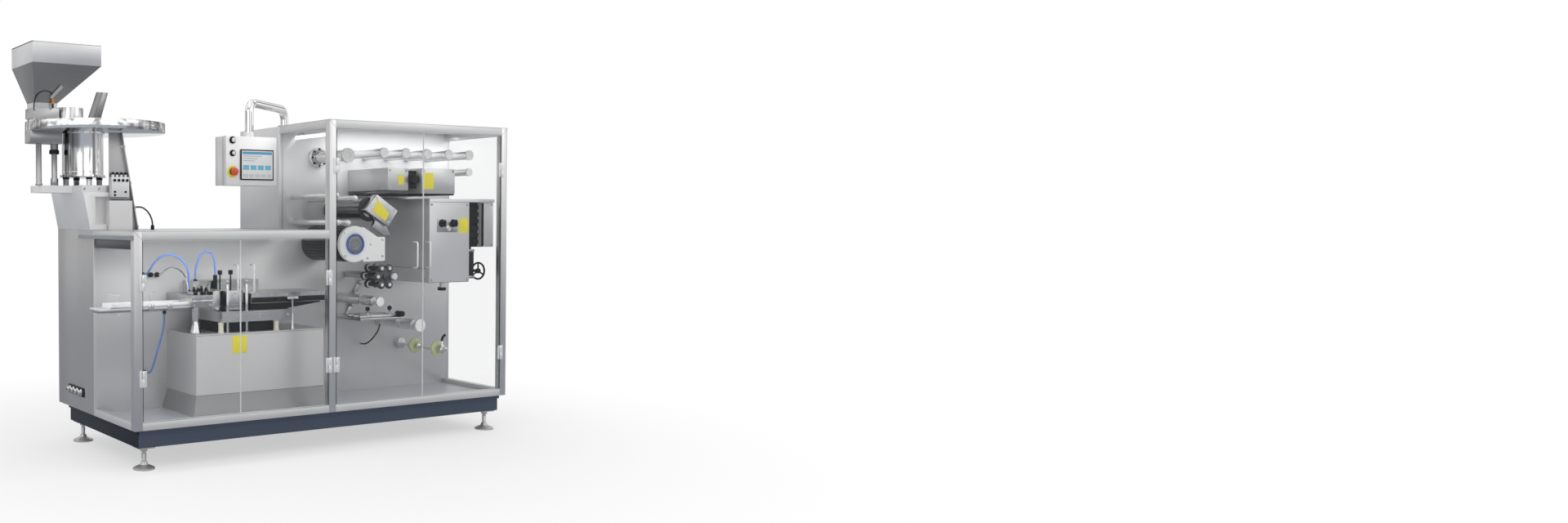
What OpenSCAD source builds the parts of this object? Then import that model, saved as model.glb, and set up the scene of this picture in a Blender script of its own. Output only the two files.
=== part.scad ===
// Blister packing machine: a low forming bay and a tall web bay behind clear doors,
// a solid rear cabinet, a feeder with hopper on the left end and a swivelling operator pendant.
// Millimetres, +Z up, front doors facing -Y. Origin on the floor under the middle of the box.

/* [Frame] */
// Length of the frame, left end to right end
frame_length = 2475; // [2300:5:2700]
// Side of the square frame tubes
frame_tube = 45; // [40:1:50]
// Height of the bottom rails
rail_height = 40; // [35:1:50]
// Floor to the underside of the frame
frame_bottom = 215; // [200:5:240]
// Frame underside to the top of the low bay
low_height = 1020; // [1000:5:1100]
// Frame underside to the top of the tall bay
tall_height = 1635; // [1600:5:1700]
// Left end to the tall front post
low_length = 1180; // [1170:5:1200]
// Front face to the mounting wall
bay_depth = 550; // [540:5:580]
// Thickness of the mounting wall
wall_thickness = 12; // [8:1:16]
// Depth of the low rear cabinet behind the wall
rear_depth = 558; // [540:2:600]
// Depth of the tall rear cabinet behind the wall
tall_depth = 478; // [440:2:520]
// Thickness of the roof sheets
sheet = 3; // [2:1:5]
// Thickness of the deck floor
deck_thickness = 15; // [10:1:20]
// Thickness of the fixed clear panes
pane = 6; // [4:1:8]
// Width of the slot under the left end beam that the duct fills
duct_height = 48; // [40:1:55]
// Standing-off of the rear service panels
panel_proud = 4; // [2:1:6]
// Gap between service panels and at their edges
panel_margin = 30; // [20:1:40]

/* [Plinth and feet] */
// Plinth set in from the frame at the front and ends
plinth_inset = 26; // [20:1:35]
// Plinth set in from the cabinet's back
plinth_rear_inset = 90; // [60:5:110]
// Height of the plinth
plinth_height = 95; // [85:5:105]
// Height of the plinth's top flange
plinth_flange = 22; // [16:1:28]
// Foot pad diameter
foot_pad_d = 115; // [100:5:130]
// Foot stem diameter
foot_stem_d = 22; // [18:1:26]
// Foot centre in from the plinth's edges
foot_inset = 65; // [60:5:80]

/* [Doors] */
// Gap round each door
door_gap = 5; // [5:0.5:7]
// Thickness of the door panes
door_thickness = 8; // [6:1:10]
// Left end to the middle of the low pair of doors
low_split = 617; // [600:1:640]
// Tall post to the middle of the tall pair of doors
tall_split_out = 656; // [640:1:670]
// Radius of the hinge barrels
hinge_r = 6; // [5:0.5:7]
// Height of each hinge
hinge_height = 84; // [70:2:96]
// Width of each hinge leaf
hinge_leaf = 13; // [10:1:20]
// Thickness of the hinge leaves
hinge_leaf_t = 4; // [3:0.5:5]
// Height of the lower hinges above the floor
hinge_low_z = 440; // [420:5:460]
// Height of the upper hinges of the low doors
hinge_mid_z = 930; // [900:5:950]
// Height of the upper hinges of the tall doors
hinge_high_z = 1555; // [1500:5:1580]
// Radius of the handle rods
handle_r = 5; // [4:0.5:6]
// Handle rod centre to the pane
handle_standoff = 42; // [38:1:46]
// Height of the door handles
handle_height = 150; // [130:5:170]
// Low left door's handle from its free edge
low_left_handle = 40; // [34:1:60]
// Low right door's handle from its free edge
low_right_handle = 58; // [34:1:64]
// Tall left door's handle from its free edge
tall_left_handle = 74; // [40:1:80]
// Tall right door's handle from its free edge
tall_right_handle = 18; // [16:1:50]
// Bottom of the low doors' handles above the floor
handle_low_z = 905; // [880:5:930]
// Bottom of the tall doors' handles above the floor
handle_tall_z = 1015; // [1000:5:1040]

/* [Operator pendant] */
// Width of the pendant box
pendant_w = 323; // [310:1:340]
// Height of the pendant box
pendant_h = 272; // [250:2:300]
// Depth of the pendant box
pendant_d = 128; // [110:2:140]
// Left end to the pendant's left side
pendant_x = 661; // [650:1:670]
// Front face to the pendant's front
pendant_y = 250; // [230:5:270]
// Pendant's underside above the floor
pendant_z = 1485; // [1460:5:1500]
// Pendant's left side to the tube's axis
pendant_axis = 182; // [150:2:200]
// Diameter of the arm tube
arm_d = 50; // [42:1:54]
// Bend radius of the arm tube, to its middle
arm_bend = 62; // [55:1:75]
// Arm tube's middle above the tall top
arm_rise = 106; // [95:1:120]
// Foot of the arm in from the tall cabinet's left side
arm_foot_x = 75; // [60:1:90]
// Foot of the arm behind the wall's back
arm_foot_y = 60; // [55:1:75]

/* [Feeder] */
// Front of the feeder pedestal behind the front face
pedestal_y = 600; // [600:1:610]
// Width of the pedestal
pedestal_w = 250; // [230:5:270]
// Outward flare of the pedestal's left side at its top
pedestal_flare = 40; // [20:2:60]
// Height of the pedestal
pedestal_h = 207; // [190:1:220]
// Thickness of the feeder's base plate
base_plate_t = 40; // [30:1:45]
// Depth of the base plate
base_plate_d = 500; // [480:5:510]
// Reach of the base plate's left bracket, from the left end outwards
bracket_out = 219; // [210:1:225]
// Front of the left bracket behind the front face
bracket_y = 775; // [765:1:780]
// Depth of the left bracket
bracket_d = 185; // [170:5:200]
// Drum axis from the left end
drum_x = 34; // [20:1:50]
// Drum and bowl axis behind the front face
drum_y = 800; // [790:1:810]
// Drum radius
drum_r = 116; // [105:1:125]
// Drum height
drum_h = 256; // [240:2:270]
// Height of the short feet under the drum
drum_foot_h = 46; // [36:1:56]
// Radius of the short feet under the drum
drum_foot_r = 16; // [12:1:20]
// Bowl axis from the left end
bowl_x = 113; // [100:1:125]
// Bowl radius
bowl_r = 395; // [370:5:400]
// Bowl floor thickness
bowl_floor = 12; // [8:1:16]
// Bowl rim height above its floor
bowl_rim = 38; // [30:1:60]
// Bowl rim thickness
bowl_wall = 5; // [4:1:8]
// Radius of the dosing ring in the bowl
ring_r = 74; // [60:2:80]
// Height of the dosing ring
ring_h = 120; // [110:2:140]
// Length of the hopper rim
hopper_w = 395; // [370:5:420]
// Depth of the hopper rim
hopper_d = 365; // [340:5:390]
// Hopper rim's left side from the left end, outwards
hopper_out = 305; // [300:1:315]
// Front of the hopper behind the front face
hopper_y = 650; // [640:1:660]
// Height of the hopper's straight rim
hopper_rim = 115; // [100:5:130]
// Height of the hopper's sloping sides
hopper_cone = 205; // [190:5:220]
// Width of the hopper's outlet neck
neck_w = 130; // [120:2:140]
// Height of the hopper's outlet neck
neck_h = 85; // [78:1:92]
// Hopper sheet thickness
hopper_wall = 3; // [2:1:5]
// Clear height between the bowl rim and the hopper's neck
neck_clear = 18; // [12:1:26]
// Radius of the hopper's four posts
hopper_post_r = 6; // [5:0.5:7]
// Height of the side box under the bowl
side_box_h = 72; // [60:1:80]
// Width of the side box under the bowl
side_box_w = 184; // [170:1:190]
// Depth of the side box under the bowl
side_box_d = 95; // [85:1:105]
// Radius of the column under the side box
column_r = 16; // [12:1:18]
// Radius of the lifting cylinder under the side box
lifter_r = 22; // [18:1:24]
// Distance from the column to the lifting cylinder
lifter_pitch = 90; // [80:1:96]

/* [Forming press] */
// Left end to the press housing
press_x = 440; // [430:1:450]
// Length of the press housing
press_length = 818; // [800:2:840]
// Front face to the press housing
press_y = 180; // [170:1:190]
// Height of the press housing above the deck
press_h = 442; // [420:2:460]
// Height of the flared skirt
skirt_h = 110; // [90:2:130]
// Outward flare of the skirt
skirt_flare = 30; // [20:1:40]
// Height of the black base under the platen
press_base_h = 60; // [50:1:70]
// Thickness of the lower platen
platen_t = 60; // [52:1:66]
// Length of the lower platen
platen_length = 440; // [430:5:445]
// Overhang of the lower platen past the housing's front
platen_over = 8; // [0:1:12]
// Thickness of the heater plates
heater_t = 36; // [30:1:42]
// Height of the web table
table_h = 55; // [45:1:60]
// Length of the web table
table_length = 490; // [470:5:500]
// Radius of the press columns
press_column_r = 8; // [6:0.5:10]
// Distance between the press columns along the machine
column_pitch = 120; // [112:2:126]
// Height of the press columns above the housing
press_column_h = 288; // [270:2:300]
// Height of the upper die
die_h = 106; // [90:1:115]
// Clear height between the lower platen and the upper die
die_clear = 5; // [4:1:8]
// Length of the cutting head
head_length = 160; // [150:2:170]
// Height of the crossbeam over the press
crossbeam_h = 67; // [55:1:75]
// Depth of the crossbeam, from the wall forwards
crossbeam_d = 135; // [120:1:145]
// Length of the crossbeam
crossbeam_length = 420; // [400:5:440]
// Left end of the lower platen to the T-shaped stop post
stop_out = 461; // [455:1:470]
// Width of the discharge chute
chute_w = 145; // [130:1:160]
// Front face to the discharge chute
chute_y = 240; // [230:1:250]
// Overhang of the chute past the left end
chute_out = 90; // [80:1:110]
// Thickness of the chute's plate
chute_t = 10; // [8:1:12]
// Height of the chute's side rails
chute_rail = 22; // [16:1:26]

/* [Web path] */
// Radius of the wall-mounted guide rods
guide_rod_r = 16; // [12:1:20]
// Front ends of the guide rollers behind the front face
roller_front = 60; // [50:1:80]
// Radius of the heated roller
heated_r = 62; // [56:1:66]
// Heated roller's axis from the tall post
heated_out = 378; // [370:1:386]
// Heated roller's axis above the frame's underside
heated_z = 1140; // [1132:1:1150]
// Radius of the ribbed drum
ribbed_r = 104; // [98:1:106]
// Ribbed drum's axis from the tall post
ribbed_out = 260; // [252:1:268]
// Ribbed drum's axis above the frame's underside
ribbed_z = 938; // [932:1:942]
// Front of the drum's end plate behind the front face
end_plate_y = 130; // [120:1:140]
// Thickness of the drum's end plate
end_plate_t = 26; // [20:1:30]
// Radius of the blue bearing ring
bearing_r = 60; // [54:1:66]
// Radius of the circle that the star wheel's rollers stand on
star_r = 56; // [52:1:58]
// Radius of the round lobes of the star wheel's plates
star_lobe_r = 24; // [20:1:26]
// Length of the star wheel
star_length = 146; // [130:2:160]
// Star wheel's axis from the tall post
star_out = 487; // [480:1:494]
// Star wheel's axis above the frame's underside
star_z = 744; // [738:1:748]
// Number of rollers in the star wheel
star_count = 6; // [5:1:7]
// Reel shaft radius
reel_r = 14; // [12:1:16]
// Reel shaft's axis from the right end
reel_in = 407; // [395:1:420]
// Reel shaft's axis above the frame's underside
reel_z = 293; // [285:1:303]
// Reel cone radius
cone_r = 46; // [40:1:52]
// Front cone's middle behind the front face
cone_front = 166; // [160:1:175]
// Distance between the two cones
cone_pitch = 220; // [210:1:230]
// Control cabinet's left side from the right end
cabinet_in = 526; // [520:1:532]
// Width of the control cabinet
cabinet_w = 304; // [296:2:308]
// Front of the control cabinet behind the front face
cabinet_y = 88; // [80:1:100]
// Control cabinet's underside above the frame's underside
cabinet_z = 700; // [690:2:705]
// Height of the control cabinet
cabinet_h = 485; // [480:2:500]
// Width of the drive box beside the control cabinet
drive_w = 92; // [84:1:96]
// Height of the drive box
drive_h = 274; // [260:2:290]
// Height of the black drive motor
motor_h = 455; // [440:5:470]
// Length of the splice table
splice_length = 320; // [315:1:330]
// Splice table's left end from the tall post
splice_out = 330; // [325:1:340]
// Splice table's underside above the frame's underside
splice_z = 485; // [480:1:492]
// Thickness of the splice table
splice_t = 14; // [10:1:18]

/* [Hoses and cables] */
// Diameter of the blue air hoses
hose_d = 12; // [10:1:14]
// Diameter of the black cables
cable_d = 9; // [7:1:10]

/* [Hidden] */
$fn = 48;

// Running gap between bodies that turn on each other
running_gap = 0.3;
low_top = frame_bottom + low_height;
tall_top = frame_bottom + tall_height;
rail_top = frame_bottom + rail_height;
deck_top = frame_bottom + deck_thickness;
low_roof_top = low_top + sheet;
wall_back = bay_depth + wall_thickness;
rear_back = wall_back + rear_depth;
tall_back = wall_back + tall_depth;
plinth_bottom = frame_bottom - plinth_height;
post_x = [0, low_length, frame_length - frame_tube];
tall_left = low_length + 3;
tall_split = low_length + tall_split_out;

// Hinge axes stand in the door gaps, in front of the frame
hinge_y = -(hinge_r + 2);
axis_low_left = frame_tube + door_gap / 2;
axis_low_right = low_length - door_gap / 2;
axis_tall_left = low_length + frame_tube + door_gap / 2;
axis_tall_right = frame_length - frame_tube - door_gap / 2;
low_door_z = [rail_top + door_gap, low_top - frame_tube - door_gap];
tall_door_z = [rail_top + door_gap, tall_top - frame_tube - door_gap];
hinge_gap = hinge_r + 1;

// Feeder levels, from the rear cabinet's top upwards
pedestal_top = low_roof_top + pedestal_h;
base_plate_top = pedestal_top + base_plate_t;
drum_z = base_plate_top + drum_foot_h;
bowl_z = drum_z + drum_h;
bowl_top = bowl_z + bowl_floor + bowl_rim;
neck_z = bowl_top + neck_clear;
cone_z = neck_z + neck_h;
rim_z = cone_z + hopper_cone;
base_plate_y = pedestal_y + 20;
neck_x0 = -hopper_out + 50;
neck_y0 = hopper_y + 120;
gate_wall = 8;
gate_h = 56;

// Press levels, from the deck upwards
press_top = deck_top + press_h;
platen_z = press_top + press_base_h;
heater_z = platen_z + platen_t;
table_z = heater_z + heater_t;
chute_z = table_z - chute_t;
press_rear = bay_depth;
platen_x = press_x + 155;
platen_y = press_y - platen_over;
platen_rear = press_rear - 50;
column_in = 45;
column_x = [platen_x + column_in, platen_x + column_in + column_pitch];
column_fit = 0.2;
column_y = [platen_y + 23, platen_rear - 20];
table_x = column_x[1] + 40;
table_y = [press_y + 35, press_rear - 65];
table_top = table_z + table_h;
head_x = platen_x - head_length;
head_y = press_y + 40;
head_z = chute_z;
side_plate_x = [platen_x - 35, platen_x + 15];
crossbeam_y = bay_depth - crossbeam_d;
die_z = heater_z + die_clear;
die_x = column_x + [12, -12];

// Pendant swivel axis
swivel_x = pendant_x + pendant_axis;
swivel_y = pendant_y + pendant_d / 2;
arm_foot = [tall_left + arm_foot_x, wall_back + arm_foot_y];
arm_run = norm([arm_foot[0] - swivel_x, arm_foot[1] - swivel_y]);
arm_turn = atan2(arm_foot[1] - swivel_y, arm_foot[0] - swivel_x);
arm_z = tall_top + arm_rise;
collar_h = 30;

// Web path: axes as [from the tall post, above the frame's underside]
heated_x = low_length + heated_out;
ribbed_x = low_length + ribbed_out;
star_x = low_length + star_out;
star_y = end_plate_y + 12;
reel_x = frame_length - reel_in;
reel_boss = 30;
cabinet_x = frame_length - cabinet_in;
cabinet_top = frame_bottom + cabinet_z + cabinet_h;
guide_rods = [[92, 1216], [104, 1063], [219, 1201], [171, 1060]];
flange_roller = [266, 1455];
roller_row_z = 1472;
roller_row_x = [low_length + 460, frame_length - 195];
lower_rollers = [[439, 598], [734, 445]];
side_roller = [frame_length - 224, 1367];
cap_t = 12;
end_arm = 214;
print_y = 131;
print_z = 1252;
print_h = 132;
print_x = low_length + 494;
print_w = 149;
print_clear = 112;
head_gap = 68;

// Middle of the model's box, which the origin stands under
front_reach = handle_standoff + handle_r;
back_reach = max(rear_back + panel_proud, drum_y + bowl_r);
origin_x = (frame_length - hopper_out) / 2;
origin_y = (back_reach - front_reach) / 2;

// Hose and cable routes
long_hose_route = [[290, 536, 990], [290, 510, 990], [292, 484, 1000], [297, 464, 1020], [305, 448, 1044],
    [318, 434, 1066], [336, 424, 1084], [358, 416, 1096], [382, 409, 1102], [408, 403, 1100],
    [432, 397, 1090], [454, 391, 1074], [472, 386, 1052], [485, 382, 1028], [492, 380, 1002],
    [494, 380, 976], [494, 380, 950], [494, 380, 924], [494, 380, 904]];
loop_hose_route = [[560, 430, 960], [560, 430, 980], [560, 429, 1004], [563, 426, 1032], [569, 422, 1060],
    [579, 417, 1086], [594, 412, 1106], [613, 408, 1117], [633, 405, 1116], [650, 402, 1104],
    [661, 401, 1084], [667, 400, 1060], [669, 400, 1034], [670, 400, 1008], [670, 400, 982]];
low_hose_route = [[300, 536, 440], [300, 510, 440], [300, 484, 444], [299, 460, 456], [298, 440, 474],
    [298, 424, 496], [299, 411, 520], [301, 400, 546], [304, 390, 572], [309, 381, 598], [314, 372, 624],
    [319, 365, 650], [323, 359, 676], [326, 354, 702], [328, 350, 728], [329, 349, 754], [330, 348, 780]];
top_cable_route = [[264, 588, 1364], [279, 587, 1366], [294, 583, 1365], [308, 576, 1360], [323, 571, 1348],
    [335, 565, 1333], [343, 559, 1316], [348, 553, 1298], [350, 548, 1281], [350, 546, 1264]];
reel_cable_route = [[1770, 536, 520], [1770, 514, 520], [1770, 492, 523], [1772, 471, 531], [1776, 453, 543],
    [1782, 438, 558], [1789, 425, 575], [1796, 414, 593], [1803, 406, 612], [1809, 401, 632], [1812, 400, 652]];

// Moves machine measures, taken from the left front corner on the floor, to the origin
module placed() {
    translate([-origin_x, -origin_y, 0]) children();
}

module block(x, y, z) {
    translate([x[0], y[0], z[0]]) cube([x[1] - x[0], y[1] - y[0], z[1] - z[0]]);
}

module rod_x(x, y, z, r) {
    translate([x[0], y, z]) rotate([0, 90, 0]) cylinder(h = x[1] - x[0], r = r);
}

module rod_y(x, y, z, r) {
    translate([x, y[1], z]) rotate([90, 0, 0]) cylinder(h = y[1] - y[0], r = r);
}

module rod_z(x, y, z, r) {
    translate([x, y, z[0]]) cylinder(h = z[1] - z[0], r = r);
}

// Pulls an outline drawn in X and Z back to front between two depths
module slab(y) {
    translate([0, y[1], 0]) rotate([90, 0, 0]) linear_extrude(y[1] - y[0]) children();
}

// Pulls an outline drawn in X and Z about a point, so that a wheel is drawn round its own axis
module slab_at(x, y, z) {
    translate([x, y[1], z]) rotate([90, 0, 0]) linear_extrude(y[1] - y[0]) children();
}

// Solid between a lower and an upper rectangle, each [[x0, x1], [y0, y1], z]
module frustum(low, high) {
    corners = [for (s = [low, high]) for (c = [[0, 0], [1, 0], [1, 1], [0, 1]]) [s[0][c[0]], s[1][c[1]], s[2]]];
    polyhedron(corners, [[0, 1, 2, 3], [4, 7, 6, 5], [0, 4, 5, 1], [1, 5, 6, 2], [2, 6, 7, 3], [3, 7, 4, 0]]);
}

// Quarter bend of round rod in the XZ plane, turning about its own centre
module quarter_bend(bend, r) {
    rotate([90, 0, 0]) rotate_extrude(angle = 90) translate([bend, 0]) circle(r);
}

function unit(v) = v / norm(v);
function heading(route, i) = unit(route[min(i + 1, len(route) - 1)] - route[max(i - 1, 0)]);
function ring(route, i, r, sides) =
    let (along = heading(route, i))
    let (side = unit(cross(along, abs(along[2]) > 0.9 ? [1, 0, 0] : [0, 0, 1])))
    let (up = cross(side, along))
    [for (k = [0:sides - 1]) route[i] + r * (cos(360 * k / sides) * side + sin(360 * k / sides) * up)];

// Round cord swept along the points of its route
module cord(route, d, sides = 10) {
    n = len(route);
    points = [for (i = [0:n - 1]) each ring(route, i, d / 2, sides)];
    walls = [for (i = [0:n - 2]) for (k = [0:sides - 1])
        let (a = i * sides + k, b = i * sides + (k + 1) % sides)
        each [[a, b, b + sides], [a, b + sides, a + sides]]];
    ends = [[for (k = [sides - 1:-1:0]) k], [for (k = [0:sides - 1]) (n - 1) * sides + k]];
    polyhedron(points, concat(walls, ends));
}

module base_plinth() color("#3b4557") placed() {
    plinth_x = [plinth_inset, frame_length - plinth_inset];
    plinth_y = [plinth_inset, rear_back - plinth_rear_inset];
    block(plinth_x, plinth_y, [frame_bottom - plinth_flange, frame_bottom]);
    block([plinth_x[0] + 8, plinth_x[1] - 8], [plinth_y[0] + 8, plinth_y[1] - 8], [plinth_bottom, frame_bottom]);
}

module levelling_feet() color("#c9cbcc") placed() {
    pad_r = foot_pad_d / 2;
    for (x = [plinth_inset + foot_inset, frame_length - plinth_inset - foot_inset])
        for (y = [plinth_inset + foot_inset, rear_back - plinth_rear_inset - foot_inset])
            translate([x, y, 0]) {
                rotate_extrude() polygon([[0, 0], [pad_r, 0], [pad_r, 8], [pad_r * 0.72, 16],
                    [foot_stem_d, 24], [foot_stem_d * 0.7, 40], [0, 40]]);
                cylinder(h = plinth_bottom - 8, d = foot_stem_d);
                translate([0, 0, plinth_bottom - 26]) cylinder(h = 18, d = foot_stem_d * 1.8, $fn = 6);
                translate([-45, -45, plinth_bottom - 8]) cube([90, 90, 8]);
            }
}

module deck_floor() color("#b9bcbf") placed()
    block([frame_tube, frame_length - frame_tube], [frame_tube, bay_depth], [frame_bottom, deck_top]);

module frame_posts() color("#c4c7c9") placed() {
    tops = [low_top, tall_top, tall_top];
    for (i = [0:2])
        block([post_x[i], post_x[i] + frame_tube], [0, frame_tube], [frame_bottom, tops[i]]);
}

module frame_rails() color("#c4c7c9") placed() {
    front = [0, frame_tube];
    side = [frame_tube, bay_depth];
    low_span = [frame_tube, low_length];
    tall_span = [low_length + frame_tube, post_x[2]];
    left_end = [0, frame_tube];
    right_end = [post_x[2], frame_length];
    bottom = [frame_bottom, rail_top];
    low_beam = [low_top - frame_tube, low_top];
    tall_beam = [tall_top - frame_tube, tall_top];
    for (z = [bottom, low_beam]) block(low_span, front, z);
    for (z = [bottom, tall_beam]) block(tall_span, front, z);
    for (z = [bottom, low_beam]) block(left_end, side, z);
    for (z = [bottom, tall_beam]) block(right_end, side, z);
    block([low_length, low_length + frame_tube], side, tall_beam);
}

module roof_sheets() color("#cfd2d4") placed() {
    block([0, low_length], [0, wall_back], [low_top, low_roof_top]);
    block([low_length, frame_length], [0, wall_back], [tall_top, tall_top + sheet]);
}

module mounting_wall() color("#b4b7ba") placed() {
    block([0, frame_length], [bay_depth, wall_back], [frame_bottom, low_top]);
    block([tall_left, frame_length], [bay_depth, wall_back], [low_top + running_gap, tall_top]);
}

module rear_cabinet() color("#a9acaf") placed() {
    block([0, frame_length], [wall_back, rear_back], [frame_bottom, low_roof_top]);
    panel_w = (frame_length - 4 * panel_margin) / 3;
    for (i = [0:2])
        block([panel_margin + i * (panel_w + panel_margin), (i + 1) * (panel_w + panel_margin)],
            [rear_back, rear_back + panel_proud], [frame_bottom + panel_margin, low_roof_top - panel_margin]);
}

module tall_cabinet() color("#a9acaf") placed() {
    block([tall_left, frame_length], [wall_back, tall_back], [low_roof_top, tall_top]);
    block([tall_left + panel_margin, frame_length - panel_margin], [tall_back, tall_back + panel_proud],
        [low_roof_top + panel_margin, tall_top - panel_margin]);
}

module left_window() color("#dfe8ea", 0.3) placed() {
    slot_z = [chute_z - 22, chute_z + chute_t + chute_rail + 44];
    difference() {
        block([10, 10 + pane], [frame_tube, bay_depth], [rail_top, low_top - frame_tube - duct_height]);
        block([0, frame_tube], [chute_y - 12, chute_y + chute_w + 12], slot_z);
    }
}

module side_windows() color("#dfe8ea", 0.3) placed() {
    right_x = frame_length - 10 - pane;
    block([right_x, right_x + pane], [frame_tube, bay_depth], [rail_top, tall_top - frame_tube]);
    mid_x = low_length + (frame_tube - pane) / 2;
    block([mid_x, mid_x + pane], [frame_tube, bay_depth], [low_roof_top, tall_top - frame_tube]);
}

module end_duct() color("#8f9295") placed()
    block([4, frame_tube - 4], [frame_tube, bay_depth], [low_top - frame_tube - duct_height, low_top - frame_tube]);

// One leaf of a hinge with its half of the barrel, reaching out from the axis towards side
module hinge_part(axis_x, z, side, upper) {
    half = hinge_height / 2;
    own = upper ? [z + half + running_gap / 2, z + hinge_height] : [z, z + half - running_gap / 2];
    near = axis_x + side * hinge_gap;
    far = axis_x + side * (hinge_gap + hinge_leaf);
    block([min(near, far), max(near, far)], [-hinge_leaf_t, 0], [z, z + hinge_height]);
    block([min(axis_x, near), max(axis_x, near)], [-hinge_leaf_t, -0.5], own);
    rod_z(axis_x, hinge_y, own, hinge_r);
}

module hinge_pair(axis_x, side, high_z, upper) {
    for (z = [hinge_low_z, high_z]) hinge_part(axis_x, z, side, upper);
}

module frame_hinges() color("#e4e6e7") placed() {
    hinge_pair(axis_low_left, -1, hinge_mid_z, false);
    hinge_pair(axis_low_right, 1, hinge_mid_z, false);
    hinge_pair(axis_tall_left, -1, hinge_high_z, false);
    hinge_pair(axis_tall_right, 1, hinge_high_z, false);
}

// Upright handle of bent rod on a pane's front
module door_handle(x, z) {
    bend = 14;
    top = z + handle_height;
    rod_z(x, -handle_standoff, [z + bend, top - bend], handle_r);
    for (end = [z, top]) rod_y(x, [-handle_standoff + bend, 0], end, handle_r);
    translate([x, -handle_standoff + bend, top - bend]) rotate([0, 0, -90]) quarter_bend(bend, handle_r);
    translate([x, -handle_standoff + bend, z + bend]) rotate([0, 0, -90]) mirror([0, 0, 1])
        quarter_bend(bend, handle_r);
}

module low_left_door() color("#dfe8ea", 0.3) placed()
    block([frame_tube + door_gap, low_split - door_gap / 2], [0, door_thickness], low_door_z);

module low_right_door() color("#dfe8ea", 0.3) placed()
    block([low_split + door_gap / 2, low_length - door_gap], [0, door_thickness], low_door_z);

module tall_left_door() color("#dfe8ea", 0.3) placed()
    block([low_length + frame_tube + door_gap, tall_split - door_gap / 2], [0, door_thickness], tall_door_z);

module tall_right_door() color("#dfe8ea", 0.3) placed()
    block([tall_split + door_gap / 2, post_x[2] - door_gap], [0, door_thickness], tall_door_z);

module low_left_fittings() color("#e4e6e7") placed() {
    hinge_pair(axis_low_left, 1, hinge_mid_z, true);
    door_handle(low_split - low_left_handle, handle_low_z);
}

module low_right_fittings() color("#e4e6e7") placed() {
    hinge_pair(axis_low_right, -1, hinge_mid_z, true);
    door_handle(low_split + low_right_handle, handle_low_z);
}

module tall_left_fittings() color("#e4e6e7") placed() {
    hinge_pair(axis_tall_left, 1, hinge_high_z, true);
    door_handle(tall_split - tall_left_handle, handle_tall_z);
}

module tall_right_fittings() color("#e4e6e7") placed() {
    hinge_pair(axis_tall_right, -1, hinge_high_z, true);
    door_handle(tall_split + tall_right_handle, handle_tall_z);
}

module side_ledge() color("#d8dadb") placed() {
    ledge = 60;
    block([-ledge, 0], [0, rear_back - 340], [low_top - 23, low_top - 20]);
    block([-3, 0], [0, rear_back - 340], [low_top - frame_tube, low_top - 20]);
}

module pendant_arm() color("#d6d9db") placed() {
    r = arm_d / 2;
    start_z = pendant_z + pendant_h + collar_h + running_gap;
    translate([swivel_x, swivel_y, 0]) rotate([0, 0, arm_turn]) {
        rod_z(0, 0, [start_z, arm_z - arm_bend], r);
        translate([arm_bend, 0, arm_z - arm_bend]) rotate([0, 0, 180]) quarter_bend(arm_bend, r);
        rod_x([arm_bend, arm_run - arm_bend], 0, arm_z, r);
        translate([arm_run - arm_bend, 0, arm_z - arm_bend]) quarter_bend(arm_bend, r);
        rod_z(arm_run, 0, [tall_top, arm_z - arm_bend], r);
        rod_z(arm_run, 0, [tall_top, tall_top + 8], r + 18);
    }
}

module pendant_box() color("#c9ccce") placed() {
    block([pendant_x, pendant_x + pendant_w], [pendant_y, pendant_y + pendant_d], [pendant_z, pendant_z + pendant_h]);
    rod_z(swivel_x, swivel_y, [pendant_z + pendant_h, pendant_z + pendant_h + collar_h], arm_d / 2 + 6);
}

module pendant_controls() color("#2b2d30") placed() {
    screen_w = 206;
    screen_h = 164;
    screen_right = pendant_x + pendant_w - 26;
    screen_z = pendant_z + 33;
    block([screen_right - screen_w, screen_right], [pendant_y - 5, pendant_y], [screen_z, screen_z + screen_h]);
    button_x = pendant_x + 41;
    for (up = [178, 250]) rod_y(button_x, [pendant_y - 14, pendant_y], pendant_z + up, 14);
    rod_y(button_x, [pendant_y - 34, pendant_y], pendant_z + 75, 20);
}

module feeder_pedestal() color("#b0b3b6") placed() {
    recess_x = [30, 112];
    difference() {
        slab([pedestal_y, rear_back]) polygon([[0, low_roof_top], [pedestal_w, low_roof_top],
            [pedestal_w, pedestal_top], [-pedestal_flare, pedestal_top]]);
        block(recess_x, [pedestal_y - 1, pedestal_y + 40], [low_roof_top + 30, pedestal_top - 24]);
    }
    block([-pedestal_flare, pedestal_w], [base_plate_y, base_plate_y + base_plate_d], [pedestal_top, base_plate_top]);
    block([-bracket_out, -pedestal_flare], [bracket_y, bracket_y + bracket_d], [pedestal_top, base_plate_top]);
}

module feeder_drum() color("#d4d7d9") placed() translate([drum_x, drum_y, 0]) {
    rim = 12;
    translate([0, 0, drum_z]) rotate_extrude() polygon([[0, 0], [drum_r + rim, 0], [drum_r + rim, 14],
        [drum_r, 14], [drum_r, drum_h - 10], [drum_r + 6, drum_h - 10], [drum_r + 6, drum_h], [0, drum_h]]);
    for (i = [0:3])
        rotate([0, 0, 90 * i]) rod_z(drum_r - drum_foot_r, 0, [base_plate_top, drum_z], drum_foot_r);
}

module feeder_bowl() color("#d4d7d9") placed() translate([bowl_x, drum_y, bowl_z]) {
    height = bowl_floor + bowl_rim;
    rotate_extrude($fn = 96) polygon([[0, 0], [bowl_r, 0], [bowl_r, height], [bowl_r - bowl_wall, height],
        [bowl_r - bowl_wall, bowl_floor], [0, bowl_floor]]);
}

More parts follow.
